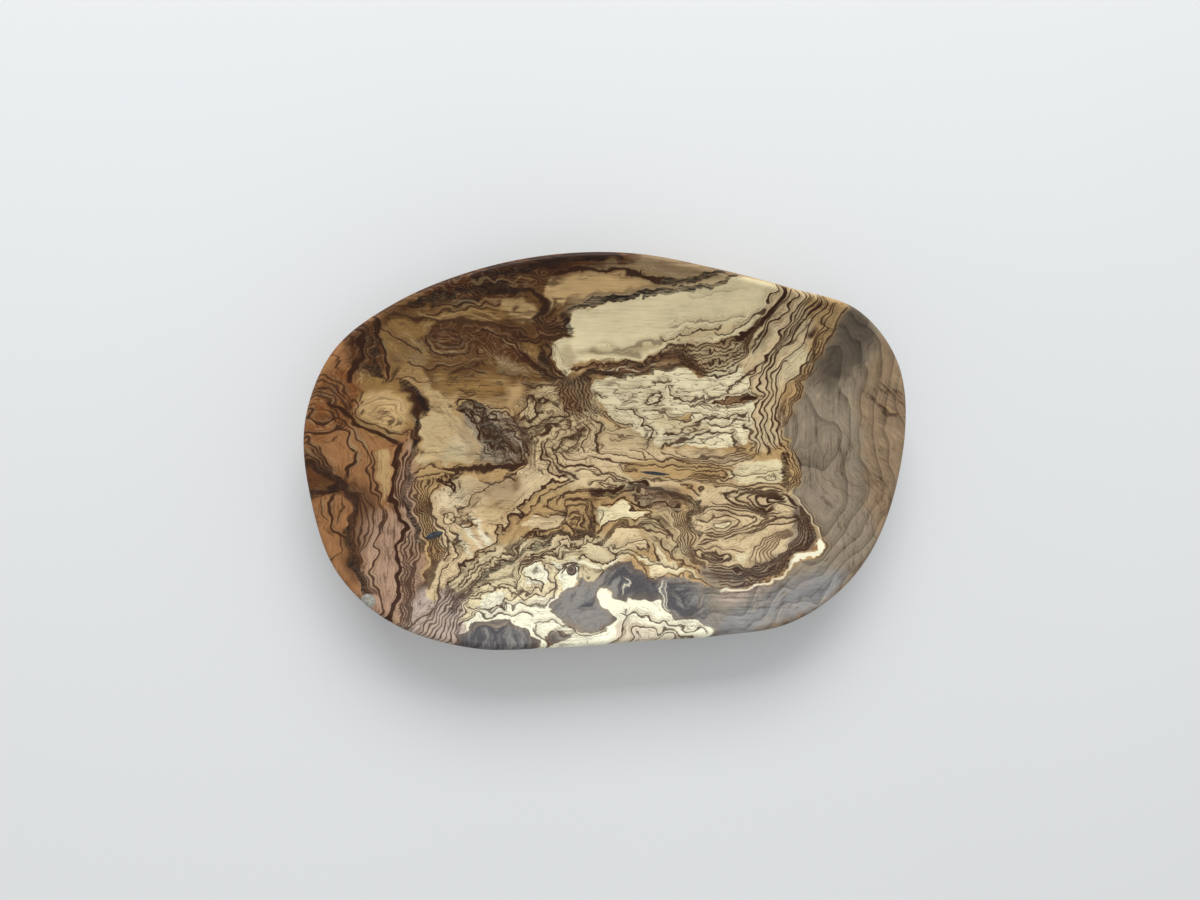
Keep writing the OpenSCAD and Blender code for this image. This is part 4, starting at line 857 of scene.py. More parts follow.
# Bundles of lines: width, share of dark, count, first line, last line
BUNDLES = [
    (0.72, 0.85, 8, [26, 46.5, 34, 46.6, 42, 47.8, 50, 48.6, 57, 50.8, 62, 54, 66, 59], [36, 36.5, 41, 34.4,
        47, 33.4, 53, 34, 58, 37, 61, 42, 63, 48]),
    (0.5, 0.75, 4, [47, -4.2, 54, -3, 61, -2, 68, -2.2], [46, -6.5, 53, -6.8, 58, -6, 64, -4.6]),
    (0.5, 0.75, 6, [62.5, -50.3, 63.5, -46, 66, -43, 70, -40, 75, -37.5, 80, -35.5], [74, -50, 72, -46.5,
        74.5, -43, 78, -40.5, 81, -38]),
    (0.58, 0.9, 7, [84, -31, 84.5, -36, 83, -40, 80, -43.5, 76, -46.5, 72, -50.5, 64, -52.5, 54, -52.8,
        44, -51.5], [86, -26, 89.5, -31, 91, -37, 90, -41, 86, -44.6, 80, -47.8, 78, -53, 70, -58, 60, -60,
        48, -60.5]),
    (0.6, 0.8, 4, [79, -2, 80.5, -5, 82.5, -8, 83, -12, 82, -15, 80, -18], [83, 0, 86, -6, 86.6, -10,
        85.6, -14, 83, -18]),
    (0.7, 0.8, 3, [-6, -41.5, -3, -39, 0, -36, 1.5, -33.4, 6, -33, 10, -33.6, 15, -33.2, 20, -33.4, 23, -34,
        26, -37], [-5.5, -43, -2, -40.6, 1, -37.4, 3, -35.2, 8, -34.6, 12, -35, 16, -36, 21, -37.6, 24, -38.2,
        26, -40.5]),
    (0.55, 0.8, 6, [28, -29, 29, -33, 31, -37, 31, -42, 32, -46, 36, -50.5, 42, -53.5], [35, -29, 34, -33,
        37, -37, 38, -40.5, 36, -44.5, 37, -48.5, 42, -51.5]),
    (0.7, 0.6, 5, [10, -16.2, 18, -16.6, 26, -18.6, 34, -21, 40, -23.6, 40, -28], [18, -20.6, 24, -22.6,
        30, -24, 34, -26, 36, -29, 35, -33]),
    (0.6, 0.8, 8, [-84, -78, -79, -71, -75.5, -66, -73, -62.6, -69, -59], [-68, -81, -68, -75, -66.5, -70.5,
        -63, -66, -58, -62.5]),
    (0.7, 0.8, 6, [-87, -14, -87.4, -20, -85.6, -26, -83.4, -32, -82, -38, -80, -41, -79, -46, -80.6, -52,
        -81.6, -58], [-80, -13.4, -80.6, -18, -81, -24, -78.6, -30, -76, -36.4, -73.6, -41, -73, -44.6,
        -76.4, -48, -78, -53, -80, -59]),
    (0.8, 0.85, 3, [-92, 1, -93, -6, -93.6, -12, -94, -18, -93, -23], [-88.6, -2, -90, -8, -91, -14,
        -91.6, -20, -90, -24]),
    (0.7, 0.8, 5, [-90, -34, -90.6, -40, -90.4, -48, -90.6, -56, -90.6, -64, -91.6, -74], [-84, -41,
        -84.6, -46, -86, -52, -86, -60, -86.6, -68, -87, -75]),
    (0.7, 0.75, 4, [-112, -17, -106.6, -20, -103.6, -24, -102.4, -29, -103, -33, -105, -37, -106.4, -42,
        -107.6, -47, -106.6, -52], [-110, -18.6, -109, -23, -109.6, -28, -110, -33, -110, -38, -109.6, -43,
        -108, -49]),
    (0.8, 0.8, 4, [-132, -2, -127, -5, -123, -8.5, -119, -10], [-124, 1, -122, -4, -120, -7, -118.6, -9.6]),
    (0.8, 0.7, 5, [-128, 20, -124, 22, -120, 20, -117, 15, -113, 10], [-124, 31, -118, 29, -114, 25,
        -112, 20]),
    (0.7, 0.8, 4, [-35, 54.6, -33, 52.6, -29, 51.6, -24, 52], [-31, 57, -28.6, 55.6, -26, 55.8, -25, 57]),
    (0.6, 0.85, 9, [-22, 30.6, -21.6, 27, -22.6, 24.6, -20.6, 22.4, -21.6, 20, -19.6, 17.6, -18, 14],
        [-12, 34, -9.6, 30, -9.2, 26, -8.4, 22, -6, 18, -2, 14.6]),
    (0.5, 0.7, 3, [87.6, 69.6, 84, 62.4, 81, 57.6, 78.6, 54, 76, 49, 73.4, 44.4], [93, 67, 90, 60.6, 87.6, 57,
        84.6, 53.6, 82.6, 50, 78.6, 46.4]),
    (0.65, 0.8, 4, [101.5, 63, 97, 52, 93.5, 43, 89.5, 35, 86, 26, 82, 17, 79, 10], [97.5, 65, 93, 54, 90, 46,
        86.4, 37, 83, 27, 79.4, 18, 77, 10]),
    (0.8, 0.7, 3, [-108, -52, -105.6, -56, -103.6, -60], [-106, -49, -103.6, -55, -101, -60]),
]

# Zigzags of the lines: height, outline
ZIGZAG = [
    (0.7, [-74, -62, -58, -45, -42, -36, -14, -36, -6, -41, -16, -46, -40, -48, -56, -58, -68, -70]),
    (0.8, [-84, -39, -70, -38, -70, -50, -82, -50]),
    (1.1, [-24, 30, -8, 34, -4, 12, -14, 12, -22, 18]),
    (0.5, [20, -32, 40, -32, 40, -50, 20, -50]),
]


def linear(name):
    """A named colour's red, green and blue as the light's own amounts."""
    share = np.array(COLOURS[name]) / 255
    return np.where(share <= 0.04045, share / 12.92, ((share + 0.055) / 1.055) ** 2.4)


def near(line):
    """Slices of the sheet that hold a line with the fields' reach round it, and the places of their cells."""
    low, high = line.min(0) - FIELD_REACH, line.max(0) + FIELD_REACH
    columns = slice(*np.searchsorted(SHEET_X, [low[0], high[0]]))
    rows = slice(*np.searchsorted(SHEET_Y, [low[1], high[1]]))
    return (rows, columns), np.stack(np.meshgrid(SHEET_X[columns], SHEET_Y[rows]), axis=-1)


def distance_to(line, places):
    """Distance from each place to the nearest straight step of a line."""
    nearest = np.full(places.shape[:2], np.inf)
    for a, b in zip(line, line[1:]):
        step = b - a
        along = np.clip(((places - a) @ step) / max(step @ step, 1e-9), 0, 1)
        nearest = np.minimum(nearest, np.linalg.norm(places - a - along[..., None] * step, axis=-1))
    return nearest


def depth_inside(outline):
    """Distance in from an outline's smooth edge, negative outside, up to the fields' reach."""
    loop = curve_through(outline, CURVE_STEPS)
    loop = np.concatenate([loop, loop[:1]])
    part, places = near(loop)
    x, y = places[..., 0], places[..., 1]
    inside = np.zeros(x.shape, bool)
    for (ax, ay), (bx, by) in zip(loop, loop[1:]):
        if ay != by:
            inside ^= ((ay > y) != (by > y)) & (x < ax + (bx - ax) * (y - ay) / (by - ay))
    depth = np.full(SHEET_SIZE, -FIELD_REACH)
    depth[part] = np.clip(np.where(inside, 1, -1) * distance_to(loop, places), -FIELD_REACH, FIELD_REACH)
    return depth


def cover_of(outline, soft):
    """Share of each cell that an outline covers, with an edge of a soft width."""
    return smooth_step(-soft / 2, soft / 2, depth_inside(outline))


def depth_in_band(width, points):
    """Distance in from the edges of a band along a smooth line, negative outside, up to the fields' reach."""
    line = curve_through(points, CURVE_STEPS, closed=False)
    part, places = near(line)
    depth = np.full(SHEET_SIZE, -FIELD_REACH)
    depth[part] = np.maximum(width / 2 - distance_to(line, places), -FIELD_REACH)
    return depth


# Strokes lie in layers, so that each has a clear margin to the next in its layer
LAYERS = 4
STROKE_MARGIN = 5.0
# How far a stroke's field goes, what stands for no stroke near, and the length in which an end fades
STROKE_REACH = 4.0
NONE_NEAR = 9.0
END_FADE = 1.2


def beside(points, places):
    """Distance to the left of a smooth line, negative on its right, the length past its ends, where it
    runs on, and the distance to the line as drawn. A line that ends where it starts is a loop."""
    closed = np.array_equal(points[0], points[-1])
    line = curve_through(points[:-1] if closed else points, CURVE_STEPS, closed)
    if closed:
        line = np.concatenate([line, line[:1]])
    count = len(line) - 1
    nearest = np.full(places.shape[:2], np.inf)
    left, past = nearest.copy(), nearest.copy()
    for k, (a, b) in enumerate(zip(line, line[1:])):
        step = b - a
        length = max(np.hypot(*step), 1e-6)
        along = (places - a) @ step / length
        low = -np.inf if k == 0 and not closed else 0
        high = np.inf if k == count - 1 and not closed else length
        held = np.clip(along, low, high)
        offset = places - a - held[..., None] * (step / length)
        gap = np.linalg.norm(offset, axis=-1)
        over = np.maximum(np.maximum(-held, held - length), 0)
        far = np.hypot(gap, over)
        closer = far < nearest
        side = np.where(step[0] * offset[..., 1] >= step[1] * offset[..., 0], 1, -1)
        nearest = np.where(closer, far, nearest)
        left = np.where(closer, gap * side, left)
        past = np.where(closer, over, past)
    return left, past, nearest


def spread(count, first, last):
    """Lines that change evenly from a first one to a last."""
    shares = np.linspace(0, 1, BUNDLE_POINTS)
    a, b = (along_line(curve_through(points, BUNDLE_STEPS, closed=False), shares) for points in (first, last))
    return [a + (b - a) * t for t in np.linspace(0, 1, count)]


def stroke_layers():
    """Layers of strokes over the sheet: distance to the left of the nearest stroke, its half width,
    and its share of dark, which is negative for a pale stroke.
    Each stroke goes into the layer where it crowds the others least."""
    empty = {"left": STROKE_REACH, "first": NONE_NEAR, "second": NONE_NEAR, "half": 0.3, "share": 0.0}
    layers = [{name: np.full(SHEET_SIZE, value) for name, value in empty.items()} for _ in range(LAYERS)]
    for width, share, points in all_strokes():
        part, places = near(points)
        left, past, far = beside(points, places)
        crowd = [np.maximum(STROKE_MARGIN - far - layer["first"][part], 0).sum() for layer in layers]
        layer = layers[int(np.argmin(crowd))]
        closer = far < layer["first"][part]
        layer["second"][part] = np.minimum(layer["second"][part], np.maximum(layer["first"][part], far))
        fade = 1 - smooth_step(0, END_FADE, past)
        for name, value in (("first", far), ("left", left), ("half", width / 2), ("share", share * fade)):
            layer[name][part] = np.where(closer, value, layer[name][part])
    for layer in layers:
        clear = smooth_step(0.2, 1.0, layer["second"] - layer["first"])
        layer["share"] *= clear * (1 - smooth_step(STROKE_REACH - 0.8, STROKE_REACH, layer["first"]))
    return layers


def smooth_step(low, high, value):
    """0 below low, 1 above high, and a smooth rise between."""
    share = np.clip((value - low) / (high - low), 0, 1)
    return share * share * (3 - 2 * share)


SETTLE_ROUNDS = 160


def settle(held, level):
    """Level of every cell: held cells keep theirs, and the others come to the mean of their neighbours.
    Sheets of wide cells are settled first, and each starts the next finer one."""
    guess = None
    for width in (16, 8, 4, 2, 1):
        rows, columns = held.shape[0] // width, held.shape[1] // width
        blocks = (rows, width, columns, width)
        count = held.reshape(blocks).sum((1, 3))
        total = (level * held).reshape(blocks).sum((1, 3))
        fixed = count > 0
        value = total / np.maximum(count, 1)
        if guess is None:
            guess = np.full(fixed.shape, value[fixed].mean())
        else:
            guess = np.repeat(np.repeat(guess, 2, axis=0), 2, axis=1)
        for _ in range(SETTLE_ROUNDS):
            wide = np.pad(guess, 1, mode="edge")
            mean = (wide[:-2, 1:-1] + wide[2:, 1:-1] + wide[1:-1, :-2] + wide[1:-1, 2:]) / 4
            guess = np.where(fixed, value, mean)
    return guess


def soften(field, times):
    """Field with each cell blended with its neighbours, a number of times."""
    for _ in range(times):
        for axis in (0, 1):
            field = (np.roll(field, 1, axis) + 2 * field + np.roll(field, -1, axis)) / 4
    return field


def all_strokes():
    """Single lines and those of the bundles: width, share of dark, points."""
    strokes = [(width, share, np.reshape(points, (-1, 2))) for width, share, points in STROKES]
    for width, share, count, first, last in BUNDLES:
        strokes += [(width, share, points) for points in spread(count, first, last)]
    return strokes


def cells_at(x, y):
    """Rows and columns of the cells nearest to places."""
    row = np.clip(((y - SHEET_Y[0]) / CELL).round().astype(int), 0, len(SHEET_Y) - 1)
    column = np.clip(((x - SHEET_X[0]) / CELL).round().astype(int), 0, len(SHEET_X) - 1)
    return row, column


def grain_angle():
    """Direction of the grain over the sheet: along the strokes, and between them as they have it all round.
    Twice the angle is what is spread, so that a line drawn either way counts the same."""
    held = np.zeros(SHEET_SIZE, bool)
    across, up = np.zeros(held.shape), np.zeros(held.shape)
    for _, _, points in all_strokes():
        line = curve_through(points, GRAIN_STEPS, closed=False)
        step = np.diff(line, axis=0)
        turn = 2 * np.arctan2(step[:, 1], step[:, 0])
        cells = cells_at(line[1:, 0], line[1:, 1])
        held[cells] = True
        across[cells], up[cells] = np.cos(turn), np.sin(turn)
    return np.arctan2(soften(settle(held, up), 8), soften(settle(held, across), 8)) / 2


def streaks(angle, fineness, reach, seed):
    """Random field drawn out along the grain: each cell takes the mean of what lies along it both ways."""
    speckle = soften(np.random.default_rng(seed).normal(size=angle.shape), fineness)
    x, y = (side.ravel() for side in np.meshgrid(SHEET_X, SHEET_Y))
    total = speckle.ravel().copy()
    for sense in (1, -1):
        at_x, at_y = x.copy(), y.copy()
        step_x, step_y = sense * np.cos(angle.ravel()), sense * np.sin(angle.ravel())
        for _ in range(reach):
            at_x, at_y = at_x + step_x * CELL, at_y + step_y * CELL
            cells = cells_at(at_x, at_y)
            total += speckle[cells]
            turn = angle[cells]
            next_x, next_y = np.cos(turn), np.sin(turn)
            sign = np.where(next_x * step_x + next_y * step_y < 0, -1, 1)
            step_x, step_y = next_x * sign, next_y * sign
    return (total / total.std()).reshape(angle.shape)


def paint():
    """Fields of the figure over the sheet: depths in the pale, dark, plum and grey parts, colours of ground
    and sapwood, serration, zigzags and burl, and the direction of the grain with its streaks."""
    ground = np.tile(np.append(linear("tan"), 0.9), SHEET_SIZE + (1,))
    serration = np.full(SHEET_SIZE, 0.3)
    for colour, streak, jag, soft, points in GROUND:
        cover = cover_of(points, soft)
        ground += cover[..., None] * (np.append(linear(colour), streak) - ground)
        serration += cover * (jag - serration)
    sapwood = np.tile(linear("cream"), SHEET_SIZE + (1,))
    pale = np.full(SHEET_SIZE, -FIELD_REACH)
    for colour, soft, points in PALE:
        depth = depth_inside(points)
        pale = np.maximum(pale, depth / soft)
        sapwood += smooth_step(-3, -1, depth)[..., None] * (linear(colour) - sapwood)
    for colour, points in BROWN:
        depth = depth_inside(points)
        pale = np.minimum(pale, -depth)
        ground[..., :3] += smooth_step(-1, 1, depth)[..., None] * (linear(colour) - ground[..., :3])
    for colour, share, soft, points in CLOUDS:
        cover = share * cover_of(points, soft)
        sapwood += cover[..., None] * (linear(colour) - sapwood)
    dark = np.max([depth_in_band(width, points) for width, points in DARK], axis=0)
    plum = np.max([depth_inside(points) for points in PLUM], axis=0)
    zigzag = np.zeros(SHEET_SIZE)
    for height, points in ZIGZAG:
        zigzag = np.maximum(zigzag, height * cover_of(points, 4))
    burl = np.zeros(SHEET_SIZE)
    for share, soft, points in BURL:
        burl += cover_of(points, soft) * (share - burl)
    angle = grain_angle()
    return {
        "pale": pale, "dark": dark, "plum": plum, "grey": depth_inside(GREY_END),
        "ground": ground, "sapwood": sapwood, "serration": serration, "zigzag": zigzag, "burl": burl,
        "angle": angle, "fine": streaks(angle, 1, 12, seed=7), "wide": streaks(angle, 10, 24, seed=8),
    }


def waves(x, y, long, short, seed, count=48):
    """Smooth random field of height about 1: a sum of sine waves in random directions, drawn out along X."""
    dice = np.random.default_rng(seed)
    total = np.zeros(np.shape(x))
    for _ in range(count):
        angle, phase = dice.uniform(0, 2 * np.pi, 2)
        pace = 2 * np.pi * dice.uniform(0.5, 1.4)
        total += np.sin(pace * (np.cos(angle) * x / long + np.sin(angle) * y / short) + phase)
    return total / math.sqrt(count / 2)


def look_up(field, x, y):
    """Field of the sheet at places, weighed between the four cells round each."""
    column = np.clip((x - SHEET_X[0]) / CELL, 0, len(SHEET_X) - 1.001)
    row = np.clip((y - SHEET_Y[0]) / CELL, 0, len(SHEET_Y) - 1.001)
    i, j = row.astype(int), column.astype(int)
    down, across = row - i, column - j
    if field.ndim == 3:
        down, across = down[:, None], across[:, None]
    near_row = field[i, j] * (1 - across) + field[i, j + 1] * across
    next_row = field[i + 1, j] * (1 - across) + field[i + 1, j + 1] * across
    return near_row * (1 - down) + next_row * down


# How far the figure shifts along X and Y for each millimetre below the surface of the bowl
LEAN = np.array([0.8, 0.45])


def figure_at(points):
    """The figure's fields at points of the dish, each depth with its slopes along X and Y."""
    x, y = points[:, 0], points[:, 1]
    below = np.maximum(bowl_height(x, y) - points[:, 2], 0)
    x, y = x + LEAN[0] * below, y + LEAN[1] * below
    x = x + 0.5 * waves(x, y, 9, 6, seed=3)
    y = y + 0.5 * waves(x, y, 9, 6, seed=4)
    sheet = paint()
    sets = {}
    sloping = {name: sheet[name] for name in ("pale", "dark", "plum", "grey")}
    for k, layer in enumerate(stroke_layers()):
        sloping[f"stroke_{k}"] = layer["left"]
        sets[f"nib_{k}"] = (layer["half"], np.maximum(layer["share"], 0), np.maximum(-layer["share"], 0))
    for name, field in sloping.items():
        down, across = np.gradient(field, CELL)
        sets[name] = (field, across, down)
    sets["teeth"] = (sheet["serration"], sheet["zigzag"], np.cos(2 * sheet["angle"]))
    sets["smear"] = (sheet["fine"], sheet["wide"], np.sin(2 * sheet["angle"]))
    sets["ground"] = (sheet["ground"],)
    sets["sapwood"] = (sheet["sapwood"], sheet["burl"])
    for name, fields in sets.items():
        sets[name] = np.column_stack([look_up(field, x, y) for field in fields])
    return sets


# Materials


class Wire:
    """An output in a material's nodes.
    Arithmetic on wires and numbers adds Math nodes, and node() adds any other."""

    def __init__(self, tree, socket=None):
        self.tree = tree
        self.socket = socket

    def node(self, kind, settings=None, inputs=None, output=0):
        """Adds a node with its settings, sets its inputs to values or wires, and gives one of its outputs."""
        made = self.tree.nodes.new(kind)
        for name, value in (settings or {}).items():
            setattr(made, name, value)
        for name, value in (inputs or {}).items():
            if isinstance(value, Wire):
                self.tree.links.new(value.socket, made.inputs[name])
            else:
                made.inputs[name].default_value = value
        return Wire(self.tree, made.outputs[output])

    def math(self, operation, *values):
        """Adds a Math node."""
        return self.node("ShaderNodeMath", {"operation": operation}, dict(enumerate(values)))

    def __add__(self, other):
        return self.math("ADD", self, other)

    def __radd__(self, other):
        return self.math("ADD", other, self)

    def __sub__(self, other):
        return self.math("SUBTRACT", self, other)

    def __rsub__(self, other):
        return self.math("SUBTRACT", other, self)

    def __mul__(self, other):
        return self.math("MULTIPLY", self, other)

    def __rmul__(self, other):
        return self.math("MULTIPLY", other, self)

    def __truediv__(self, other):
        return self.math("DIVIDE", self, other)

    def __pow__(self, other):
        return self.math("POWER", self, other)

    def step(self, low, high):
        """0 below low, 1 above high, and a smooth rise between."""
        inputs = {"Value": self, "From Min": low, "From Max": high}
        return self.node("ShaderNodeMapRange", {"interpolation_type": "SMOOTHSTEP"}, inputs)

    def parts(self):
        """The three parts of a vector or colour."""
        split = self.node("ShaderNodeSeparateXYZ", inputs={"Vector": self}).socket.node
        return [Wire(self.tree, socket) for socket in split.outputs]

    def mix(self, share, first, second, blend="MIX"):
        """Colour between two, by the share of the second."""
        settings = {"data_type": "RGBA", "blend_type": blend}
        return self.node("ShaderNodeMix", settings, {0: share, 6: first, 7: second}, output=2)

    def mixed(self, other, share, blend="MIX"):
        """This colour with a share of another."""
        return self.mix(share, self, other, blend)

    def attribute(self, name, output="Vector"):
        """Field stored on the points of a piece."""
        return self.node("ShaderNodeAttribute", {"attribute_name": name}, output=output)

    def noise(self, size, detail=2.0, roughness=0.5, output=0, turn=0):
        """Noise on the object's own coordinates, with lumps of a size in millimetres along X, Y and Z,
        turned counter-clockwise about Z by an angle in degrees."""
        place = self.node("ShaderNodeTexCoord", output="Object")
        inputs = {"Vector": place, "Scale": [MM * length for length in size]}
        inputs["Rotation"] = (0, 0, math.radians(turn))
        scaled = self.node("ShaderNodeMapping", {"vector_type": "TEXTURE"}, inputs)
        inputs = {"Vector": scaled, "Scale": 1.0, "Detail": detail, "Roughness": roughness}
        return self.node("ShaderNodeTexNoise", {"noise_dimensions": "3D"}, inputs, output)


def new_material(name):
    """Empty material, and a wire to begin its nodes from."""
    material = bpy.data.materials.new(name)
    material.use_nodes = True
    material.node_tree.nodes.clear()
    return material, Wire(material.node_tree)


def finish_material(start, shader):
    """Sends the finished shader to the material's output."""
    output = start.tree.nodes.new("ShaderNodeOutputMaterial")
    start.tree.links.new(shader.socket, output.inputs["Surface"])


def rgba(name):
    """A named colour as a socket takes it."""
    return (*linear(name), 1.0)


# Middle of the rings in the grey end, and what the mixed colours are raised to and multiplied by
VEIL_HEART = (30, 5)
TONE_GAMMA = 1.18
TONE_LIFT = (1.19, 1.255, 1.44)


def olive_wood():
    """Olive wood: ground, pale and purple-grey islands, dark bands, grey end and growth lines.

    Each field of the figure is shifted by noise along its slopes, so that its edges break into short teeth
    along the fibres. Burl and wisps are contours of noise. A stroke is dark or pale where its field is
    near 0. A brown shade fades away from it on its left, and thin echoes run beside it where it is alone."""
    material, start = new_material("olive_wood")
    wobble = start.noise((6, 4.5, 4.5), detail=4, roughness=0.6, output="Color").parts()
    teeth = start.noise((9, 0.9, 2), detail=2, roughness=0.6)
    serration, zigzag, along_x = start.attribute("teeth").parts()
    fine, wide, along_slant = start.attribute("smear").parts()
    place_x, place_y, _ = start.node("ShaderNodeTexCoord", output="Object").parts()
    place_x, place_y = place_x / MM, place_y / MM
    ridge = start.math("PINGPONG", place_x * 0.9 + place_y * 0.35 + 6 * wobble[2], 1.7) / 1.7 - 0.5
    restless = 0.5 + 1.6 * serration
    shift_x = (wobble[0] - 0.5) * restless + (teeth - 0.5) * 9.0 * serration * along_x.step(-0.3, 0.7)
    shift_y = (wobble[1] - 0.5) * restless + ridge * zigzag

    streak, jag = 0.0, 0.0
    for turn, share in ((0, along_x), (45, along_slant), (90, 0 - along_x), (135, 0 - along_slant)):
        weight = start.math("MAXIMUM", share, 0) ** 2
        streak = weight * start.noise((18, 1.0, 1.6), 4, 0.65, turn=turn) + streak
        jag = weight * (start.noise((2.0, 9, 9), 2, 0.5, turn=turn) - 0.5) + jag
    jag = jag * (0.8 + 4.5 * serration)

    def shifted(name):
        """Field moved by the shifts along its slopes."""
        value, across, down = start.attribute(name).parts()
        slope = start.math("SQRT", across * across + down * down)
        return value + across * shift_x + down * shift_y + slope * jag

    depths = {name: shifted(name) for name in ("pale", "dark", "plum", "grey")}
    pale, dark, plum, grey = (depth.step(-0.25, 0.25) for depth in depths.values())
    cloud = start.noise((16, 10, 10), detail=2)
    blotch = start.noise((9, 5, 5), detail=3, roughness=0.55)
    fibre = start.noise((6, 0.35, 0.5), detail=2, roughness=0.6)
    streaked = start.attribute("ground", "Alpha")
    smear = (fine * 0.55 + wide * 0.6 + (streak - 0.5) * 9) * streaked

    drawn, pale_drawn, shaded, beside_line, nearest, crowd = 0.0, 0.0, 0.0, 0.0, STROKE_REACH, 0.0
    nib_noise = start.noise((7, 5, 5), detail=2)
    for k in range(LAYERS):
        left = shifted(f"stroke_{k}")
        half, dark_share, pale_share = start.attribute(f"nib_{k}").parts()
        half = half * (0.55 + 1.05 * nib_noise)
        away = start.math("ABSOLUTE", left)
        core = 1 - (away - half).step(-0.2, 0.2)
        shadow = (1 - (left - half).step(0.0, 0.4 + 3.6 * cloud)) * left.step(-0.3, 0.1)
        nearest = start.math("MINIMUM", away, nearest)
        crowd = (1 - away.step(2.2, 3.2)) * dark_share + crowd
        beside_line = start.math("MAXIMUM", dark_share, beside_line)
        drawn = start.math("MAXIMUM", core * dark_share, drawn)
        pale_drawn = start.math("MAXIMUM", core * pale_share, pale_drawn)
        shaded = start.math("MAXIMUM", shadow * dark_share, shaded)

    echo = 0.0
    for gap, share in ((0.9, 0.75), (1.8, 0.6), (2.7, 0.45)):
        off = start.math("ABSOLUTE", nearest - gap - 0.8 * nib_noise) - 0.1
        echo = start.math("MAXIMUM", (1 - off.step(-0.1, 0.14)) * share, echo)
    alone = 1 - crowd.step(0.9, 1.6)
    echo = echo * beside_line * alone * wobble[2].step(0.3, 0.52)

    ground = start.attribute("ground", "Color")
    sapwood = start.attribute("sapwood", "Color")
    colour = ground.mixed(sapwood, pale)
    colour = colour.mixed(rgba("dusk"), (0 - smear).step(0.1, 2.2) * 0.7)
    colour = colour.mixed(rgba("straw"), smear.step(0.3, 2.6) * 0.3)
    lighter = fine * 0.7 + wide * 0.6 + (streak - 0.5) * 4 - 0.5
    for low, high, rise in ((-34, -22, 2), (-5, 4, -2.8), (15, 24, 1.6), (22, 52, 2)):
        lighter = lighter + rise * place_x.step(low, high)
    violet = start.mix(lighter.step(-1.3, 1.7), rgba("plum"), rgba("lilac"))
    border = (1 - depths["plum"].step(0.0, 3.5)) * (1 - place_x.step(30, 42))
    violet = violet.mixed(rgba("taupe"), border * 0.35)
    colour = colour.mixed(violet, plum * (1 - 0.9 * place_x.step(36, 48)))
    contour = start.attribute("sapwood", "Alpha")
    burl = start.math("MAXIMUM", contour, 0)
    wispy = start.math("MAXIMUM", 0 - contour, 0)
    wisp = start.math("PINGPONG", start.noise((34, 7, 7), detail=3, roughness=0.5) * 10, 0.5) * 2
    colour = colour.mixed(rgba("sage"), wisp.step(0.5, 0.9) * wispy * 0.25)
    colour = colour.mixed(rgba("dusk"), wisp.step(0.84, 0.96) * wispy)
    ring = start.math("PINGPONG", start.noise((15, 11, 11), detail=2, roughness=0.4) * 17, 0.5) * 2
    colour = colour.mixed(rgba("dusk"), ring.step(0.68, 0.9) * burl * 0.75)
    colour = colour.mixed(rgba("straw"), (1 - ring.step(0.1, 0.35)) * burl * 0.25)
    colour = colour.mixed(rgba("bark"), dark * (0.25 + 0.6 * fibre.step(0.3, 0.62) + 0.12 * fine))
    shade_tone = start.mix(start.noise((20, 12, 12), detail=1).step(0.5, 0.66), rgba("smoke"), rgba("sage"))
    colour = colour.mixed(shade_tone, shaded * (0.15 + 0.7 * cloud) * (0.75 + 0.25 * alone))
    colour = colour.mixed(rgba("umber"), echo)
    pale_tone = start.mix(pale_drawn.step(0.3, 0.5), rgba("gold"), rgba("ivory"))
    colour = colour.mixed(pale_tone, pale_drawn)
    colour = colour.mixed(rgba("dusk"), drawn * (0.88 + 0.32 * nib_noise))
    swirl = start.noise((26, 44, 40), detail=2, roughness=0.4)
    out = start.math("SQRT", (place_x - VEIL_HEART[0]) ** 2 + (place_y - VEIL_HEART[1]) ** 2)
    fold = start.math("FRACT", (out + 46 * swirl) / 6.5) ** 2
    veil = fold + 0.4 * start.math("FRACT", (out + 60 * swirl) / 2.3)
    shade = 1.0 - 0.42 * grey * (veil - 0.18)
    for field, share in ((blotch, 0.32), (streak, 0.36), (fibre, 0.2), (cloud, 0.3)):
        shade = shade + share * (field - 0.5)
    light = start.node("ShaderNodeCombineColor", inputs={k: shade * lift for k, lift in enumerate(TONE_LIFT)})
    colour = start.node("ShaderNodeGamma", inputs={"Color": colour, "Gamma": TONE_GAMMA})
    colour = colour.mixed(light, 1.0, "MULTIPLY")

    grain = fibre * 0.6 + streak * 0.4
    bump = start.node("ShaderNodeBump", inputs={"Strength": 0.12, "Distance": 0.1 * MM, "Height": grain})
    shader = start.node("ShaderNodeBsdfPrincipled", inputs={
        "Base Color": colour, "Roughness": 0.36 + 0.14 * fibre, "Normal": bump, "Specular IOR Level": 0.18,
    })
    finish_material(start, shader)
    return material


def plain_resin(name, colour, flecks, roughness):
    """Filler sanded flush: a colour with clouds and flecks of another."""
    material, start = new_material(name)
    cloud = start.noise((1.6, 1.2, 1.2), detail=4, roughness=0.65)
    mixed = start.mix(cloud.step(0.42, 0.68), colour, flecks)
    bump = start.node("ShaderNodeBump", inputs={"Strength": 0.2, "Distance": 0.1 * MM, "Height": cloud})
    shader = start.node("ShaderNodeBsdfPrincipled", inputs={
        "Base Color": mixed, "Roughness": roughness + 0.15 * cloud, "Normal": bump})
    finish_material(start, shader)
    return material


# Places of the fills in the bowl, seen from above
OVAL_KNOT = (-78, -37)
FISSURE = (20.5, -10.8)
PIN_KNOT = (-18.3, -53.3)


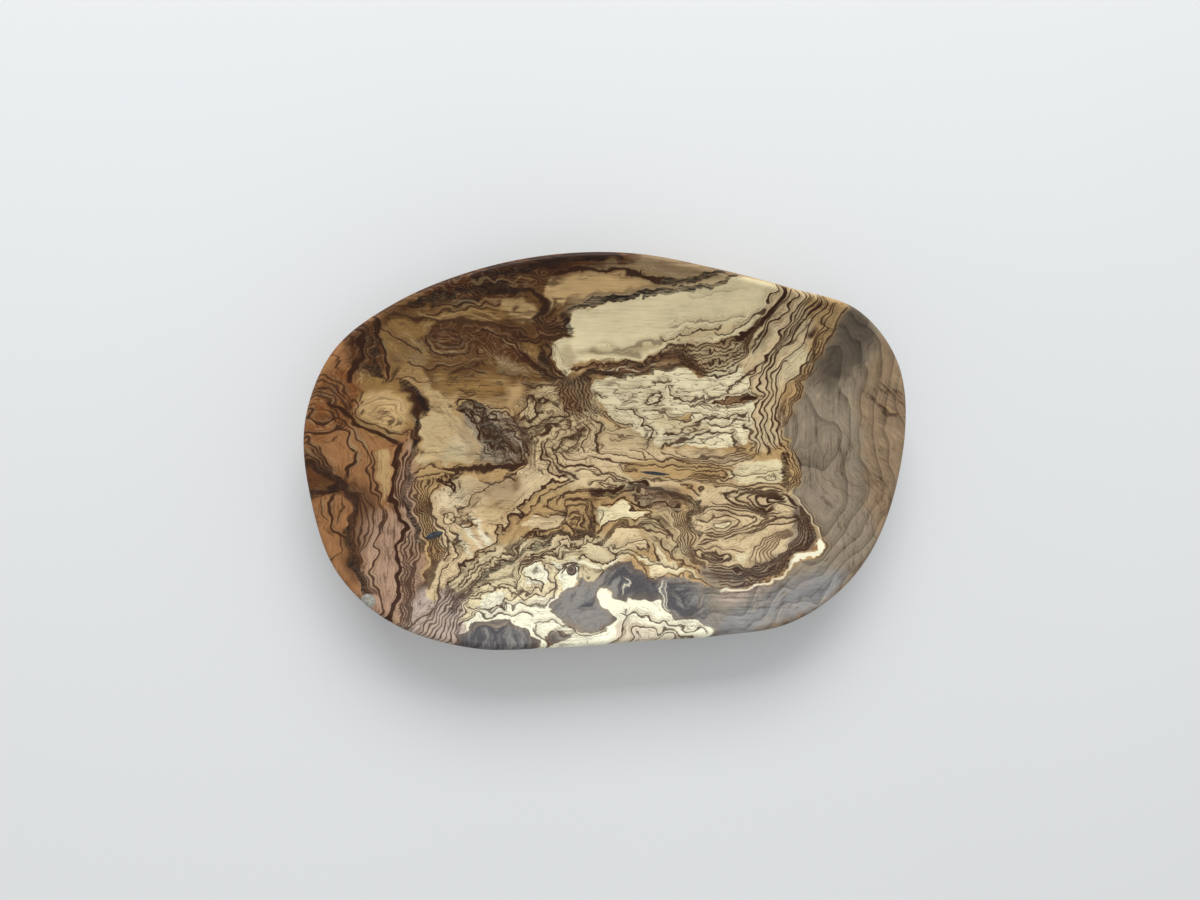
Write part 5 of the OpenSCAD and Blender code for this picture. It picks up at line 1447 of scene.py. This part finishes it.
def knot_wood():
    """End grain of a small knot: rings round its middle, darkest in the middle and at the edge."""
    material, start = new_material("knot_wood")
    x, y, _ = start.node("ShaderNodeTexCoord", output="Object").parts()
    wobble = start.noise((2.4, 2.4, 2.4), detail=3)
    x, y = x / MM - PIN_KNOT[0] + 0.2, y / MM - PIN_KNOT[1] - 0.2
    away = start.math("SQRT", x * x + y * y * 1.4) + (wobble - 0.5) * 1.2
    ring = start.math("PINGPONG", away, 0.55) / 0.55
    heart = 1 - away.step(0.3, 1.1)
    edge = away.step(1.6, 2.3)
    pale = ring.step(0.2, 0.8) * (1 - heart) * (1 - edge * 0.7)
    colour = start.mix(pale, rgba("bark"), rgba("smoke"))
    shader = start.node("ShaderNodeBsdfPrincipled", inputs={
        "Base Color": colour, "Roughness": 0.4 + 0.15 * wobble, "Specular IOR Level": 0.45})
    finish_material(start, shader)
    return material


def floor_paint():
    """Pale matt floor with a faint cloud in it."""
    material, start = new_material("pale_floor")
    cloud = start.noise((400, 400, 400), detail=2)
    mixed = start.mix(cloud, (0.74, 0.74, 0.73, 1), (0.78, 0.78, 0.77, 1))
    shader = start.node("ShaderNodeBsdfPrincipled", inputs={"Base Color": mixed, "Roughness": 0.85})
    finish_material(start, shader)
    return material


# Pieces


def add_mesh(name, points, faces, material):
    """Smooth-shaded object at the origin from points in millimetres and arrays of faces."""
    mesh = bpy.data.meshes.new(name)
    mesh.from_pydata((points * MM).tolist(), [], [face for part in faces for face in part.tolist()])
    mesh.polygons.foreach_set("use_smooth", np.ones(len(mesh.polygons), bool))
    mesh.materials.append(material)
    mesh.update()
    piece = bpy.data.objects.new(name, mesh)
    bpy.context.scene.collection.objects.link(piece)
    return piece


def add_figure(piece, points):
    """Stores the figure's fields on a piece's points."""
    kinds = {3: ("FLOAT_VECTOR", "vector"), 4: ("FLOAT_COLOR", "color")}
    for name, values in figure_at(points).items():
        kind, slot = kinds[values.shape[1]]
        stored = piece.data.attributes.new(name, kind, "POINT")
        stored.data.foreach_set(slot, values.astype(np.float32).ravel())


# Flat map of the skin: margin, and height of the strip that holds the underside
MAP_MARGIN = 0.01
UNDER_STRIP = 0.34


def add_flat_map(piece, points, faces):
    """Flat map of the dish's skin. The top is the bowl seen from above, with the rim rolled out beyond its
    lip by the length of its arc. The underside is the wall and foot seen from above, smaller, in a strip."""
    top = points[:, :2].copy()
    bowl_count = (2 * BOWL_RINGS + 1) ** 2
    for k in range(1, RIM_RINGS + 1):
        rolled = RIM_RADIUS * (np.pi + BOWL_SLOPE - WALL_SLOPE) * k / RIM_RINGS
        first = bowl_count + (k - 1) * STATIONS
        top[first : first + STATIONS] = LIP[:, :2] + OUTWARD * rolled[:, None]
    last_top = bowl_count + RIM_RINGS * STATIONS
    low, high = top[:last_top].min(0), top[:last_top].max(0)
    top = MAP_MARGIN + (top - low) * (1 - 2 * MAP_MARGIN) / (high - low)[0]
    top[:, 1] += 1 - MAP_MARGIN - top[:last_top, 1].max()
    under = points[:, :2] - points[:, :2].min(0)
    under = MAP_MARGIN + under * (UNDER_STRIP - 2 * MAP_MARGIN) / under[:, 1].max()
    corners = np.concatenate([part.ravel() for part in faces])
    top_faces = (2 * BOWL_RINGS) ** 2 + RIM_RINGS * STATIONS
    on_top = np.arange(len(corners)) < 4 * top_faces
    flat = np.where(on_top[:, None], top[corners], under[corners])
    piece.data.uv_layers.new(name="OFBake").data.foreach_set("uv", flat.astype(np.float32).ravel())


skin_points, skin_faces = dish_skin()
dish = add_mesh("olive_wood_dish", skin_points, skin_faces, olive_wood())
add_figure(dish, skin_points)
add_flat_map(dish, skin_points, skin_faces)
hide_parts("dish_body")
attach(dish, "root")

# Fills: rings from the middle of the top to its edge, and points round each
FILL_RINGS = 10
FILL_POINTS = 96
FILL_DEPTH = 3.0
FILL_PROUD = 0.02
HALVINGS = 30
FILL_ANGLES = np.arange(FILL_POINTS) / FILL_POINTS * 2 * np.pi


def fan_and_bands(rings):
    """Points and faces of a closed skin: a middle point, rings of equal count, and a last point."""
    count = FILL_POINTS
    points = np.concatenate(rings)
    loops = 1 + np.arange((len(rings) - 2) * count).reshape(-1, count)
    first, last = loops[0], loops[-1]
    top = np.stack([np.zeros(count, int), first, np.roll(first, -1)], axis=1)
    under = np.stack([last, np.full(count, len(points) - 1), np.roll(last, -1)], axis=1)
    return points, [np.concatenate(bands_between(loops)), np.concatenate([top, under])]


def sunk_fill(place, outline):
    """Fill whose plan is an outline round a place. Its top lies on the bowl, its side goes straight down."""
    rings = []
    for k in range(FILL_RINGS + 1):
        share = k / FILL_RINGS
        flat = np.asarray(place) + outline * share
        rise = bowl_height(flat[:, 0], flat[:, 1]) + FILL_PROUD * (2 - share**4)
        rings.append(np.column_stack([flat, rise]))
    low = bowl_height(np.array(place[:1]), np.array(place[1:])) - FILL_DEPTH
    rings.append(np.column_stack([rings[-1][:, :2], np.full(FILL_POINTS, low)]))
    return fan_and_bands([rings[0][:1]] + rings[1:] + [np.array([[*place, low[0]]])])


def lens(length, width, turn):
    """Outline of a lens of two equal arcs, turned counter-clockwise. Each arc has the radius
    (length^2 + width^2) / (4 width)."""
    radius = (length**2 + width**2) / (4 * width)
    along = -np.cos(FILL_ANGLES) * length / 2
    side = np.where(np.arange(FILL_POINTS) < FILL_POINTS / 2, -1, 1)
    across = side * (np.sqrt(radius**2 - along**2) - radius + width / 2)
    c, s = math.cos(math.radians(turn)), math.sin(math.radians(turn))
    return np.stack([along * c - across * s, along * s + across * c], axis=1)


def disc(diameter):
    """Outline of a disc."""
    return diameter / 2 * np.stack([np.cos(FILL_ANGLES), np.sin(FILL_ANGLES)], axis=1)


def on_rim(station, along, over):
    """Points on the rounded rim and the bowl under it: a length along the rim from a station, and a length
    over the rim from its crest, outwards positive. Inside the lip the bowl is taken as straight."""
    spacing = np.linalg.norm(RIM - np.roll(RIM, 1, axis=0), axis=1).mean()
    at = station + along / spacing
    number = np.arange(STATIONS)

    def there(values):
        return np.interp(at, number, values)

    slope = there(BOWL_SLOPE)
    angle = np.minimum(np.pi / 2 - over / RIM_RADIUS, np.pi / 2 + slope)
    past = np.maximum(-over - RIM_RADIUS * slope, 0)
    inward = RIM_RADIUS * (1 - np.cos(angle)) + past * np.cos(slope)
    rise = DISH_HEIGHT + RIM_RADIUS * (np.sin(angle) - 1) - past * np.sin(slope)
    flat = [there(RIM[:, k]) - there(OUTWARD[:, k]) * inward for k in range(2)]
    return np.column_stack(flat + [rise])


def rim_fill(heading, diameter):
    """Fill of a ball-shaped hollow centred on the rim's crest. Its top follows the rim, its underside the
    ball. How far the top reaches each way is found by halving, until its edge lies on the ball."""
    crests = rim_arc(np.full(STATIONS, np.pi / 2))
    turned = np.arctan2(crests[:, 1], crests[:, 0]) - math.radians(heading)
    station = int(np.argmin(abs(np.sin(turned / 2))))
    crest = crests[station]
    across, out = np.cos(FILL_ANGLES), np.sin(FILL_ANGLES)
    low, high = np.zeros(FILL_POINTS), np.full(FILL_POINTS, diameter)
    for _ in range(HALVINGS):
        middle = (low + high) / 2
        far = np.linalg.norm(on_rim(station, middle * across, middle * out) - crest, axis=1)
        low = np.where(far < diameter / 2, middle, low)
        high = np.where(far < diameter / 2, high, middle)
    heart = np.append(RIM[station] - OUTWARD[station] * RIM_RADIUS, DISH_HEIGHT - RIM_RADIUS - 2)
    rings = []
    for k in range(FILL_RINGS + 1):
        reach = low * k / FILL_RINGS
        top = on_rim(station, reach * across, reach * out)
        lift = top - heart
        proud = FILL_PROUD * (2 - (k / FILL_RINGS) ** 4)
        rings.append(top + proud * lift / np.linalg.norm(lift, axis=1, keepdims=True))
    deep = (heart - crest) / np.linalg.norm(heart - crest)
    for k in range(1, FILL_RINGS):
        toward = (rings[FILL_RINGS] - crest) * (1 - k / FILL_RINGS) + deep * diameter / 2 * k / FILL_RINGS
        rings.append(crest + toward / np.linalg.norm(toward, axis=1, keepdims=True) * diameter / 2)
    return fan_and_bands([rings[0][:1]] + rings[1:] + [(crest + deep * diameter / 2)[None]])


def add_fill(name, node, shape, material):
    """Fill as a piece that stands for a node of the model."""
    fill = add_mesh(name, *shape, material)
    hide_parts(node)
    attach(fill, "root")


dark_resin = plain_resin("dark_resin", (0.012, 0.013, 0.016, 1), (0.05, 0.05, 0.055, 1), 0.3)
grey_filler = plain_resin("grey_filler", (0.24, 0.22, 0.18, 1), (0.4, 0.38, 0.32, 1), 0.5)
add_fill("oval_knot", "oval_knot_fill", sunk_fill(OVAL_KNOT, lens(8.2, 3, 17)), dark_resin)
add_fill("fissure", "fissure_fill", sunk_fill(FISSURE, lens(14.5, 1.6, -6)), dark_resin)
add_fill("pin_knot_plug", "pin_knot", sunk_fill(PIN_KNOT, disc(4.6)), knot_wood())
add_fill("rim_patch", "rim_chip_fill", rim_fill(211, 6), grey_filler)

# Stage

FLOOR_REACH = 3000.0
corners = np.array([[-1, -1, 0], [1, -1, 0], [1, 1, 0], [-1, 1, 0]]) * FLOOR_REACH
floor = add_mesh("floor", corners, [np.array([[0, 1, 2, 3]])], floor_paint())

# Light

WINDOW_PLACE = (-100, 1500, 1200)
WINDOW_WIDTH, WINDOW_HEIGHT = 1600, 900
WINDOW_POWER = 29
WINDOW_COLOUR = (0.93, 0.97, 1.0)
SKY_COLOUR = (0.95, 0.97, 1.0, 1)
SKY_STRENGTH = 0.64


def add_softbox(name, place, width, height, power, colour):
    """Rectangular lamp at a place, turned to the dish."""
    lamp = bpy.data.lights.new(name, "AREA")
    lamp.shape = "RECTANGLE"
    lamp.size, lamp.size_y = width * MM, height * MM
    lamp.energy = power
    lamp.color = colour
    softbox = bpy.data.objects.new(name, lamp)
    softbox.location = np.array(place) * MM
    softbox.rotation_euler = (-softbox.location).to_track_quat("-Z", "Y").to_euler()
    bpy.context.scene.collection.objects.link(softbox)


add_softbox("window", WINDOW_PLACE, WINDOW_WIDTH, WINDOW_HEIGHT, WINDOW_POWER, WINDOW_COLOUR)

world = bpy.data.worlds.new("studio")
world.use_nodes = True
sky = world.node_tree.nodes["Background"]
sky.inputs["Color"].default_value = SKY_COLOUR
sky.inputs["Strength"].default_value = SKY_STRENGTH
bpy.context.scene.world = world

# Camera

CAMERA_PLACE = np.array([-56.34, -0.18, 411.33])
CAMERA_TILT = math.radians(7.3)

camera = bpy.data.cameras.new("camera")
camera.lens = 27
camera.sensor_width = 36
camera.clip_start = 0.01
viewer = bpy.data.objects.new("camera", camera)
viewer.location = CAMERA_PLACE * MM
viewer.rotation_euler = (0, -CAMERA_TILT, 0)
bpy.context.scene.collection.objects.link(viewer)
bpy.context.scene.camera = viewer
bpy.context.scene.view_settings.view_transform = "Standard"
